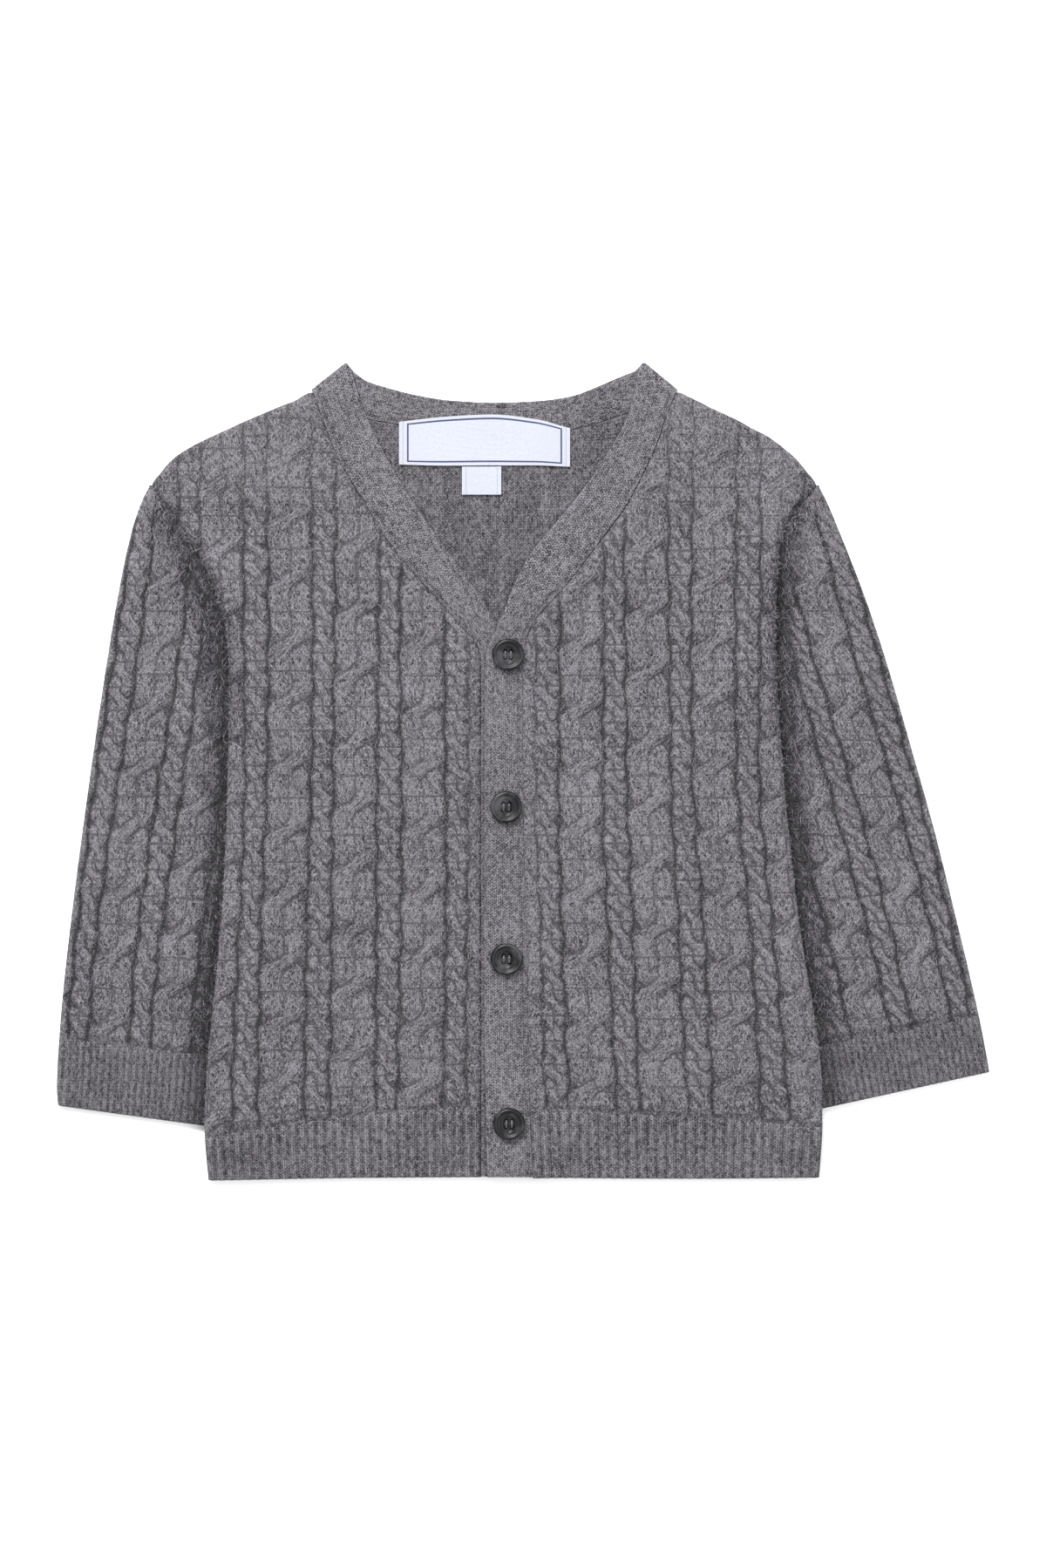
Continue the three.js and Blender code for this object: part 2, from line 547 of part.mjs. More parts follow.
// A flattened tube: an upper and a lower cloth joined by a fold away from the body, and on the body
// side by a fold up to the mouth. Rows give height by distance out; relief gives added thickness.
function flatTube({ name, side, fine, coarse, inner, outer, columns, relief, mouth }) {
  const skin = new Skin();
  const bounds = (row, inset) => {
    const isFold = row(inner(row(100)) + 1) <= mouth + 0.01;
    const low = meet(row, inner, 100);
    const high = meet(row, outer, 160);
    return [low + (isFold ? inset : 0), high - inset, isFold];
  };
  const place = (row, out, z) => skin.point(side.sign * out, row(out), z);
  const top = fine.map((row, rowIndex) => {
    const [low, high, isFold] = bounds(row, FOLD_INSET);
    return spread(low, high, columns(row), 1.1).map((out, j, all) => {
      if (j === 0) return place(row, out, isFold ? PILE - 0.5 : PILE - 0.2);
      if (j === all.length - 1) return place(row, out, PILE - 0.5);
      const near = Math.min(high - out, out - low) - EDGE_INSET;
      return place(row, out, PILE + clamp(near / 2, 0, 1) * relief(row, out, j - 2, rowIndex));
    });
  });
  const level = (inset, z, edgeZ) => coarse.map((row) => {
    const [low, high, isFold] = bounds(row, inset);
    return [0, 0.03, 0.35, 0.65, 0.97, 1].map((part) => {
      const turned = (part === 0 && isFold) || part === 1;
      return place(row, low + (high - low) * part, turned ? edgeZ : z);
    });
  });
  const topInside = level(WALL + FOLD_INSET, PILE - WALL, PILE - WALL);
  const lowInside = level(WALL + FOLD_INSET, WALL, WALL);
  const bottom = level(FOLD_INSET, 0, 0.5);
  [top, topInside, lowInside, bottom].forEach((rows) => skin.sheet(rows));
  const middle = (isOuter) => coarse.map((row) => {
    const [low, high] = bounds(row, 0);
    return place(row, isOuter ? high : low, PILE / 2);
  });
  const line = (rows, end) => rows.map((row) => (end ? row[row.length - 1] : row[0]));
  const folded = (rows, list) => list.filter((_, i) => bounds(rows[i], 0)[2]);
  const open = (rows, list) => {
    const start = rows.findIndex((row) => !bounds(row, 0)[2]);
    return start < 0 ? [] : list.slice(Math.max(0, start - 1));
  };
  const outside = middle(true);
  skin.zip(line(top, true), outside, 1);
  skin.zip(outside, line(bottom, true), 1);
  skin.zip(line(topInside, true), line(lowInside, true), 1);
  const foldLine = folded(coarse, middle(false));
  skin.zip(folded(fine, line(top, false)), foldLine, 1);
  skin.zip(foldLine, folded(coarse, line(bottom, false)), 1);
  skin.zip(folded(coarse, line(topInside, false)), folded(coarse, line(lowInside, false)), 1);
  if (open(fine, fine).length > 0) {
    skin.zip(open(fine, line(top, false)), open(coarse, line(topInside, false)), 1);
    skin.zip(open(coarse, line(bottom, false)), open(coarse, line(lowInside, false)), 1);
  }
  const tidy = (list) => list.filter((p, i) => i === 0 || p !== list[i - 1]);
  const corner = (end, first, mid) => {
    const pick = (rows) => line(first ? rows.slice(0, 1) : rows.slice(-1), end)[0];
    skin.fan(pick(topInside), [pick(top), mid, pick(bottom), pick(lowInside)]);
  };
  [true, false].forEach((first) => {
    const pick = (rows) => tidy(first ? rows[0] : rows[rows.length - 1]);
    skin.zip(pick(top), pick(topInside), 0);
    skin.zip(pick(bottom), pick(lowInside), 0);
    corner(true, first, first ? outside[0] : outside[outside.length - 1]);
  });
  corner(false, true, foldLine[0]);
  const closed = foldLine.length === coarse.length;
  if (closed) corner(false, false, foldLine[foldLine.length - 1]);
  else {
    const at = foldLine.length - 1;
    const topAt = folded(fine, line(top, false)).pop();
    skin.fan(topInside[at][0], [topAt, foldLine[at], bottom[at][0], lowInside[at][0]]);
  }
  return skin.geometry(name);
}

const sleeveInner = (side) => (y) => along(SLEEVE_INNER, side.column, y);
const sleeveOuter = (side) => (y) => along(SLEEVE_OUTER, side.column, y);

// Relief of a sleeve ends where the body lies on it
const besideBody = (side, out, h) => clamp((out - bodyEdge(side, h) - 0.6) / 3, 0, 1);

function sleeve(side) {
  const seam = (out) => along(CUFF_SEAM, side.column, out);
  const levels = heights(seam(168), SLEEVE_TOP, ROW_STEP, [UNDERARM]);
  const rowAt = (y) => (out) => {
    const slant = (seam(168) - seam(100)) / 68;
    const follow = clamp((UNDERARM - y) / (UNDERARM - seam(168)), 0, 1);
    return y + (out - 168) * slant * follow + SEAM_GAP * follow;
  };
  const coarseLevels = levels.filter((y, i) => i % 3 === 0 || y === UNDERARM || y === SLEEVE_TOP);
  const distances = SLEEVE_COLUMNS;
  return flatTube({
    name: `sleeve_${side.name}`,
    side,
    fine: levels.map(rowAt),
    coarse: coarseLevels.map(rowAt),
    inner: sleeveInner(side),
    outer: sleeveOuter(side),
    columns: (row) => {
      const from = meet(row, (h) => along(SLEEVE_LINE, side.column, h), 160);
      return distances.map((c) => from - c.at).reverse();
    },
    relief: (row, out, j, rowIndex) => {
      const column = distances[distances.length - 1 - j];
      if (!column) return 0;
      return besideBody(side, out, row(out)) * cableHeight(column, row(out), rowIndex, -side.sign);
    },
    mouth: UNDERARM,
  });
}

function cuff(side) {
  const rows = betweenRows(CUFF_END, CUFF_SEAM, side, 4, 0, 0);
  const wide = (row) => [meet(row, sleeveInner(side), 100), meet(row, sleeveOuter(side), 160)];
  const count = 2 * Math.round((wide(rows[0])[1] - wide(rows[0])[0]) / CUFF_RIB_PITCH);
  return flatTube({
    name: `cuff_${side.name}`,
    side,
    fine: rows,
    coarse: [rows[0], rows[2], rows[4]],
    inner: sleeveInner(side),
    outer: sleeveOuter(side),
    columns: (row) => {
      const [low, high] = wide(row);
      return Array.from({ length: count - 3 }, (_, j) => low + ((high - low) * (j + 2)) / count);
    },
    relief: (row, out, j) => (j % 2 === 0 ? CUFF_RIB_HEIGHT * besideBody(side, out, row(out)) : 0),
    mouth: 1e3,
  });
}

// The band, section after section, turned over at each shoulder
function frontBand() {
  const sections = [];
  const add = (seam, edge, middle, normal) => sections.push({ seam, edge, middle, normal });
  const run = (table, up) => {
    const marks = [0];
    for (let i = 1; i < table.length; i += 1) {
      const move = Math.hypot(table[i][2] - table[i - 1][2], table[i][3] - table[i - 1][3])
        + Math.hypot(table[i][0] - table[i - 1][0], table[i][1] - table[i - 1][1]);
      marks.push(marks[i - 1] + move / 2);
    }
    const keyed = table.map((row, i) => [marks[i], ...row]);
    marks.forEach((mark, i) => {
      const steps = i + 1 < marks.length && marks[i + 1] - mark < STRAIGHT_RUN ? 2 : 1;
      for (let k = 0; k < steps; k += 1) {
        const next = i + 1 < marks.length ? marks[i + 1] : mark;
        const at = mark + ((next - mark) * k) / steps;
        const [sx, sy, ex, ey, z] = [1, 2, 3, 4, 5].map((column) => along(keyed, column, at));
        add([sx, sy, z], [ex, ey, z], z, [0, 0, up]);
      }
    });
  };
  const fold = ([sx, sy, ex, ey], fromFront) => {
    const radius = (SHOULDER_MID - BAND_THICK / 2) / 2;
    const centre = (SHOULDER_MID + BAND_THICK / 2) / 2;
    const length = Math.hypot(ex - sx, ey - sy);
    const across = [(ex - sx) / length, (ey - sy) / length];
    const outward = [-across[1], across[0]].map((v) => v * (across[0] > 0 ? 1 : -1));
    for (let k = 0; k <= FOLD_STEPS; k += 1) {
      const angle = (Math.PI * (fromFront ? k : FOLD_STEPS - k)) / FOLD_STEPS;
      const [c, s] = [Math.cos(angle), Math.sin(angle)];
      const z = centre + radius * c;
      const move = outward.map((v) => v * radius * s);
      const normal = [outward[0] * s, outward[1] * s, c];
      add([sx + move[0], sy + move[1], z], [ex + move[0], ey + move[1], z], z, normal);
    }
  };
  run(BAND_UP_RIGHT, 1);
  fold(BAND_FOLD_RIGHT, true);
  run(BAND_ACROSS_BACK, -1);
  fold(BAND_FOLD_LEFT, false);
  run(BAND_DOWN_LEFT, 1);
  const skin = new Skin();
  const rings = sections.map(({ seam, edge, normal }) => {
    const ring = BAND_SHAPE.map(([part, height]) => skin.point(...[0, 1, 2].map((k) => (
      seam[k] + (edge[k] - seam[k]) * part + normal[k] * height * BAND_THICK
    ))));
    return [...ring, ring[0]];
  });
  skin.sheet(rings);
  [rings[0], rings[rings.length - 1]].forEach((ring) => {
    const [a, b, c, d, e, f, g, h] = ring;
    skin.sheet([[a, b, c, d], [h, g, f, e]]);
  });
  return skin.geometry('front_band');
}

// A round button with a rim, an oval hollow and four holes
function button(manifold, [x, y]) {
  const profile = [
    [0, 0], [4.9, 0], [BUTTON_RADIUS, 0.7], [BUTTON_RADIUS, 1.7], [5.1, BUTTON_THICK],
    [4.3, BUTTON_THICK], [3.5, 1.8], [0, 1.8],
  ].map(([r, z]) => new THREE.Vector2(r, z));
  const round = new THREE.LatheGeometry(profile, 18);
  round.rotateX(Math.PI / 2);
  round.deleteAttribute('normal');
  round.deleteAttribute('uv');
  const skin = new Skin();
  const position = round.getAttribute('position');
  const ids = Array.from({ length: position.count }, (_, i) => skin.point(
    position.getX(i), position.getY(i), position.getZ(i),
  ));
  const index = round.getIndex().array;
  for (let i = 0; i < index.length; i += 3) skin.face(ids[index[i]], ids[index[i + 1]], ids[index[i + 2]]);
  const geometry = skin.geometry('button');
  const disc = new manifold.Manifold(new manifold.Mesh({
    numProp: 3,
    vertProperties: new Float32Array(geometry.getAttribute('position').array),
    triVerts: new Uint32Array(geometry.getIndex().array),
  }));
  const hole = manifold.Manifold.cylinder(4, 0.75, 0.75, 6, true);
  const holes = [[-1.4, -1.4], [1.4, -1.4], [1.4, 1.4], [-1.4, 1.4]];
  const drilled = holes.reduce((body, [a, b]) => body.subtract(hole.translate([a, b, 1])), disc);
  const mesh = drilled.translate([x, y, BUTTON_BASE]).getMesh();
  const result = new THREE.BufferGeometry();
  result.setAttribute('position', new THREE.Float32BufferAttribute(mesh.vertProperties, 3));
  result.setIndex(Array.from(mesh.triVerts));
  return result;
}

function label(name, table) {
  const skin = new Skin();
  const [upper, lower] = [LABEL_BASE + LABEL_THICK, LABEL_BASE].map((z) => [2, 1].map((column) => (
    table.map((row) => skin.point(row[0], row[column], z))
  )));
  skin.sheet(upper);
  skin.sheet(lower);
  const wall = (pick) => skin.sheet([pick(upper), pick(lower)]);
  wall((rows) => rows[0]);
  wall((rows) => rows[1]);
  wall((rows) => rows.map((row) => row[0]));
  wall((rows) => rows.map((row) => row[row.length - 1]));
  return skin.geometry(name);
}

const wasm = await Module();
wasm.setup();
const group = new THREE.Group();
const paint = {
  knit: { color: '#6e6c72', roughness: 0.95, metalness: 0 },
  rib: { color: '#6b696f', roughness: 0.95, metalness: 0 },
  horn: { color: '#34343a', roughness: 0.45, metalness: 0 },
  woven: { color: '#eceae6', roughness: 0.8, metalness: 0 },
};

function add(name, geometry, look) {
  const mesh = new THREE.Mesh(geometry, new THREE.MeshStandardMaterial(paint[look]));
  mesh.name = name;
  geometry.computeVertexNormals();
  group.add(mesh);
}

add('back', back(), 'knit');
add('hem_rib_back', hemRibBack(), 'rib');
[RIGHT, LEFT].forEach((side) => {
  add(`front_${side.name}`, front(side), 'knit');
  add(`hem_rib_front_${side.name}`, hemRib(side), 'rib');
  add(`sleeve_${side.name}`, sleeve(side), 'knit');
  add(`cuff_${side.name}`, cuff(side), 'rib');
});
add('front_band', frontBand(), 'rib');
BUTTONS.forEach((at, index) => add(`button_${index + 1}`, button(wasm, at), 'horn'));
add('neck_label', label('neck_label', NECK_LABEL), 'woven');
add('size_label', label('size_label', SIZE_LABEL), 'woven');

export default group;
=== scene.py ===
"""Looks of a cable-knit baby cardigan that lies flat, buttoned, front side up.

Lengths in the tables and surface formulas are millimetres in the frame of the CAD solids (+X to the
wearer's left, +Y to the neck, +Z up); meshes are written in metres.
"""
import logging
from dataclasses import dataclass, field
from enum import Enum
from typing import Callable, Sequence, Union

import bpy
import numpy as np
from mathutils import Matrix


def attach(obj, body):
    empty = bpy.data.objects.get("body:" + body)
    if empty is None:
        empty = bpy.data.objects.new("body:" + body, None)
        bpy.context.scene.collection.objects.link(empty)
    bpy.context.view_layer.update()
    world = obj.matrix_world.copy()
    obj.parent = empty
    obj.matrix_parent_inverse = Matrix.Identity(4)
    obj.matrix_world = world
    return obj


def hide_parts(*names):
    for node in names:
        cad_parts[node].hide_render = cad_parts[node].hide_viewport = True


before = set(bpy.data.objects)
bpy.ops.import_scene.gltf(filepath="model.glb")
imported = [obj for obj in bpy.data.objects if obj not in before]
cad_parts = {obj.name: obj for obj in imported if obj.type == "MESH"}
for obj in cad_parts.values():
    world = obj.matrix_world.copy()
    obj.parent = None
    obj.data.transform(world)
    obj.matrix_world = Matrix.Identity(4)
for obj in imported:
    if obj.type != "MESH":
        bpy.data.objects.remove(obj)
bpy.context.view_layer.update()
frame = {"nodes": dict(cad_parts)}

LOG = logging.getLogger("cardigan")
MM = 0.001
Array = np.ndarray

# Cloth
WALL = 1.5
PILE = 3.3
LIFT = PILE + 0.6
EDGE_RADIUS = 1.65
UNDERARM = 9.0
NECK_LEVEL = 117.8

# Bands
BAND_THICK = 1.6
UNDER_BAND_MID = 2.6
TOP_BAND_MID = 4.55
RISE_REACH = 12.0
SHOULDER_MID = 3.0

# Cables
BROAD_CROSSING = 22.5
SLIM_CROSSING = 9.0

# Body outline, out from the middle: height, right side, left side
BODY_EDGE = np.array([
    [-147.0, 112.1, 105.2], [-138.0, 112.8, 105.7], [-126.0, 113.3, 106.2], [-107.0, 112.5, 105.9],
    [-93.0, 111.3, 104.3], [-69.0, 108.8, 100.3], [-45.0, 106.9, 96.9], [-14.0, 105.4, 93.5],
    [9.0, 104.8, 91.6], [32.0, 104.6, 90.2], [46.0, 105.2, 89.7], [60.0, 108.3, 89.8],
    [74.5, 114.5, 90.8], [83.4, 120.0, 92.4], [93.3, 127.0, 97.5], [101.5, 132.3, 104.3],
    [106.3, 129.1, 101.1], [111.6, 124.2, 96.6], [115.6, 118.0, 91.9], [119.3, 110.4, 86.6],
    [122.5, 103.5, 80.4], [125.9, 95.9, 74.2], [128.7, 89.3, 68.0], [131.8, 81.5, 61.8],
    [134.8, 76.3, 55.8],
])
# Where each front meets the band: height, right side, left side
BAND_SEAM = np.array([
    [-147.0, 15.3, 3.6], [-122.0, 15.3, 2.6], [-93.0, 15.3, 1.7], [-61.0, 15.3, 1.4],
    [-20.0, 15.3, 0.2], [30.0, 15.3, 0.0], [38.4, 15.4, 0.0], [45.0, 17.2, 0.8],
    [52.0, 22.9, 3.5], [58.0, 28.3, 8.4], [64.0, 33.8, 13.9], [70.0, 39.0, 18.8],
    [76.0, 44.0, 23.5], [85.6, 50.9, 30.8], [94.2, 56.2, 37.0], [108.0, 64.5, 44.2],
    [117.0, 68.7, 48.2], [125.0, 71.6, 50.8], [134.8, 75.2, 54.7],
])
# Neck seam of the back: height, right side, left side
BACK_NECK = np.array([
    [117.8, 10.0, -9.0], [118.9, 22.0, 5.0], [120.4, 31.5, 14.0], [122.8, 43.9, 24.0],
    [124.9, 56.0, 31.5], [127.7, 66.8, 40.0], [131.5, 71.6, 48.5], [134.8, 75.0, 54.5],
])
# Sleeve outline away from the body: height, right side, left side
SLEEVE_OUTER = np.array([
    [-124.0, 165.3, 167.8], [-113.0, 166.3, 166.8], [-95.0, 165.4, 163.8], [-76.3, 163.8, 159.8],
    [-51.5, 161.0, 153.9], [-20.5, 157.0, 146.2], [10.5, 152.7, 137.5], [35.3, 149.0, 130.4],
    [60.1, 144.9, 122.3], [84.9, 139.7, 112.7], [97.3, 135.4, 107.4], [101.0, 133.4, 105.4],
])
# Sleeve outline on the body side: height, right side, left side
SLEEVE_INNER = np.array([
    [-132.0, 103.1, 105.8], [-121.0, 103.3, 104.6], [-100.0, 103.2, 100.6], [-82.5, 100.0, 94.4],
    [-51.5, 94.7, 84.2], [-14.3, 87.6, 73.6], [9.0, 83.9, 68.7], [27.6, 93.2, 74.6],
    [44.6, 101.8, 81.5], [60.0, 109.2, 88.6], [72.0, 114.6, 91.5], [82.5, 120.6, 93.2],
    [92.0, 127.0, 98.0], [101.0, 133.2, 105.2],
])
# Line that the sleeve cables follow: height, right side, left side
SLEEVE_LINE = np.array([
    [-124.0, 167.4, 169.2], [-76.0, 163.8, 159.8], [-20.5, 157.0, 146.2], [35.0, 149.0, 130.4],
    [101.0, 140.0, 112.0],
])
# Heights of the seams that run across: distance from the middle, right side, left side
HEM_SEAM = np.array([
    [0.0, -119.2, -120.0], [30.0, -120.4, -121.8], [69.0, -123.9, -124.0], [113.0, -130.3, -127.2],
])
HEM_END = np.array([[0.0, -144.7, -145.0], [60.0, -145.1, -145.4], [113.0, -146.0, -144.8]])
CUFF_SEAM = np.array([[100.0, -103.4, -99.2], [168.0, -94.9, -86.7]])
CUFF_END = np.array([[100.0, -128.4, -121.8], [168.0, -119.0, -106.9]])

# The band, a row for each section: seam x and y, free edge x and y, height of the cloth's middle
BAND_UP_RIGHT = np.array([
    [-15.1, -144.5, -1.2, -144.5, 2.6], [-15.1, -100.0, -1.2, -100.0, 2.6],
    [-15.1, -50.0, -1.2, -50.0, 2.6], [-15.1, 0.0, -1.2, 0.0, 2.6],
    [-15.1, 26.0, -1.2, 24.0, 2.6], [-15.1, 39.0, -1.6, 36.0, 2.6],
    [-16.9, 45.4, -5.2, 44.6, 2.6], [-22.4, 51.7, -10.6, 53.8, 2.6],
    [-29.8, 60.0, -18.4, 66.2, 2.6], [-38.6, 69.9, -28.3, 79.9, 2.6],
    [-48.2, 81.9, -37.6, 93.0, 2.6], [-57.8, 97.5, -46.3, 107.2, 2.6],
    [-66.7, 112.8, -53.0, 120.0, 2.65], [-70.8, 123.6, -57.6, 130.6, 2.8],
    [-73.7, 131.6, -60.6, 140.2, 3.0],
])
BAND_FOLD_RIGHT = (-74.6, 134.1, -62.0, 144.1)
BAND_ACROSS_BACK = np.array([
    [-72.0, 132.6, -60.0, 141.8, 0.8], [-66.5, 128.4, -55.6, 138.8, 0.8],
    [-56.0, 125.3, -49.4, 136.8, 0.8], [-43.9, 123.2, -40.5, 134.4, 0.8],
    [-28.0, 120.1, -26.0, 132.0, 0.8], [-11.0, 118.4, -10.0, 131.2, 0.8],
    [6.0, 119.4, 5.0, 131.8, 0.8], [18.6, 121.8, 16.6, 133.4, 0.8],
    [32.6, 125.8, 26.6, 137.0, 0.8], [42.6, 129.6, 33.6, 140.0, 0.8],
    [51.2, 133.2, 39.6, 142.4, 0.8],
])
BAND_FOLD_LEFT = (54.0, 134.1, 41.6, 144.3)
BAND_DOWN_LEFT = np.array([
    [53.2, 131.8, 40.6, 140.6, 3.0], [50.4, 125.0, 38.8, 131.8, 2.85],
    [47.8, 117.2, 36.1, 124.0, 2.7], [43.8, 108.2, 31.4, 115.5, 2.65],
    [36.6, 94.4, 24.2, 104.3, 2.7], [30.4, 85.8, 17.0, 94.8, 2.9],
    [23.2, 76.2, 9.6, 86.0, 3.25], [16.0, 66.8, 1.6, 75.8, 3.75],
    [10.0, 60.2, -4.0, 64.4, 4.2], [4.6, 54.2, -7.6, 54.8, 4.45],
    [1.2, 47.6, -11.0, 48.0, 4.55], [-0.1, 40.0, -13.2, 41.4, 4.55],
    [-0.2, 28.0, -13.8, 30.0, 4.55], [0.0, -20.0, -13.9, -20.0, 4.55],
    [1.2, -61.0, -14.0, -61.0, 4.55], [1.5, -93.0, -13.9, -93.0, 4.55],
    [2.4, -122.0, -13.4, -122.0, 4.55], [3.4, -144.6, -12.9, -144.6, 4.55],
])
BUTTONS = ((-5.4, 41.1), (-6.1, -13.0), (-6.0, -67.0), (-5.1, -125.5))
# Labels: x, upper edge, lower edge
NECK_LABEL = np.array([
    [-44.3, 124.2, 109.0], [-28.0, 126.0, 108.6], [-11.0, 126.8, 108.7], [4.0, 125.2, 108.7],
    [16.6, 121.9, 108.2],
])
SIZE_LABEL = np.array([[-21.9, 108.2, 98.3], [-7.9, 108.3, 98.3]])


class Side(Enum):
    """A side of the wearer: sign along X and column in the outline tables."""

    RIGHT = (-1, 1)
    LEFT = (1, 2)

    @property
    def sign(self) -> int:
        """Direction of the side along X."""
        return self.value[0]

    @property
    def column(self) -> int:
        """Column of the side in the outline tables."""
        return self.value[1]

    @property
    def label(self) -> str:
        """Lower-case name, as in the CAD nodes."""
        return self.name.lower()


def ease(value: Array) -> Array:
    """Soft step from 0 to 1.

    Args:
        value: position of the step, 0 at its start and 1 at its end.

    Returns:
        3t^2 - 2t^3 of the position held between 0 and 1.
    """
    t = np.clip(value, 0.0, 1.0)
    return t * t * (3 - 2 * t)


def along(table: Array, column: int, key: Array) -> Array:
    """Smooth curve through a table's rows.

    Args:
        table: rows in order of their first column.
        column: column to read.
        key: places along the first column.

    Returns:
        Cubic pieces whose slope at a row is the harmonic mean of the slopes beside it.
    """
    x, y = table[:, 0], table[:, column]
    slope = np.diff(y) / np.diff(x)
    inner = slope[:-1] * slope[1:]
    total = slope[:-1] + slope[1:]
    safe = np.where(inner > 0, total, 1.0)
    joint = np.concatenate([slope[:1], np.where(inner > 0, 2 * inner / safe, 0.0), slope[-1:]])
    held = np.clip(key, x[0], x[-1])
    i = np.clip(np.searchsorted(x, held, side="right") - 1, 0, len(x) - 2)
    width = x[i + 1] - x[i]
    t = (held - x[i]) / width
    bend = t * (1 - t) * width
    line = y[i] * (1 - t) + y[i + 1] * t
    return line + bend * ((joint[i] - slope[i]) * (1 - t) - (joint[i + 1] - slope[i]) * t)


def body_edge(side: Side, y: Array) -> Array:
    """Distance of the body's outline from the middle at a height."""
    return along(BODY_EDGE, side.column, y)


def band_seam(side: Side, y: Array) -> Array:
    """Distance of the band's seam from the middle at a height."""
    return along(BAND_SEAM, side.column, y)


def lift(side: Side, out: Array, y: Array) -> Array:
    """Height of the body over the sleeve tucked below its side.

    Args:
        side: side of the wearer.
        out: distance from the middle.
        y: height up the garment.

    Returns:
        Full over the sleeve, eased to nothing 18 mm further in, at the armhole and at the hem.
    """
    edge = body_edge(side, y)
    tuck = np.maximum(0, edge - along(SLEEVE_INNER, side.column, np.maximum(y, -128.0)))
    inward = ease((tuck + 19.5 - (edge - out)) / 18)
    upper = np.where(y < UNDERARM, 1.0, ease((90 - y) / 28))
    return LIFT * inward * upper * ease((y + 149) / 20)


def rise(side: Side, out: Array, y: Array) -> Array:
    """Rise of the left front to the upper band, eased over the 12 mm beside its seam."""
    if side is Side.RIGHT:
        return np.zeros_like(out)
    beside = ease(1 - (out - band_seam(side, y)) / RISE_REACH)
    return (TOP_BAND_MID - UNDER_BAND_MID) * ease((96 - y) / 46) * beside


def rounding(distance: Array, radius: float) -> Array:
    """Drop of a rounded edge: a quarter circle over the last stretch before the edge."""
    d = np.clip(distance, 0.0, radius)
    return radius - np.sqrt(radius * radius - (radius - d) ** 2)


def waves(x: Array, y: Array, seed: int, length: float, count: int = 7) -> Array:
    """Soft unevenness: a seeded sum of sine waves of about one length.

    Args:
        x: places across.
        y: places along.
        seed: seed of the directions and phases.
        length: mean wave length.
        count: number of waves.

    Returns:
        Heights of about -1 to 1.
    """
    rng = np.random.default_rng(seed)
    total = np.zeros(np.broadcast(x, y).shape)
    for _ in range(count):
        turn, phase = rng.uniform(0, 2 * np.pi, 2)
        rate = 2 * np.pi / (length * rng.uniform(0.7, 1.6))
        total += np.sin(rate * (x * np.cos(turn) + y * np.sin(turn)) + phase)
    return total / np.sqrt(count)


@dataclass(frozen=True)
class Relief:
    """Raised knitting on a surface: height, place across and along the stitches, painted shade (painted
    highlight where negative).
    """

    height: Array
    across: Array
    down: Array
    groove: Array


def dome(part: Array) -> Array:
    """Rounded strand: 1 at its middle, 0 at -1 and 1."""
    return np.clip(1 - part ** 2, 0, 1) ** 0.38


def rope(part: Array, crossings: Array, turn: float, width: float,
         rest: float) -> tuple[Array, Array, Array]:
    """Two strands that cross over one another.

    Args:
        part: place across, -1 to 1.
        crossings: number of crossings passed.
        turn: share of the length that a crossing takes.
        width: half the width of a strand, as a share of the rope's.
        rest: depth of the crease between strands that lie side by side, 0 to 1.

    Returns:
        Height, about 1 at the strands, the place across the strand on top, and the crease's depth.
    """
    q = crossings - np.floor(crossings)
    passed = ease((q - 0.5) / turn + 0.5)
    centre = (1.02 - width) * (2 * passed - 1)
    swell = 4 * passed * (1 - passed)
    top = (1 + 0.3 * swell) * dome((part - centre) / width)
    low = (1 - 0.35 * swell) * dome((part + centre) / width)
    crease = np.exp(-((top - low) / 0.3) ** 2) * np.minimum(1, rest + swell)
    across = np.where(top >= low, part - centre, part + centre + 3)
    return np.maximum(top, low) - 0.18 * crease, across, crease


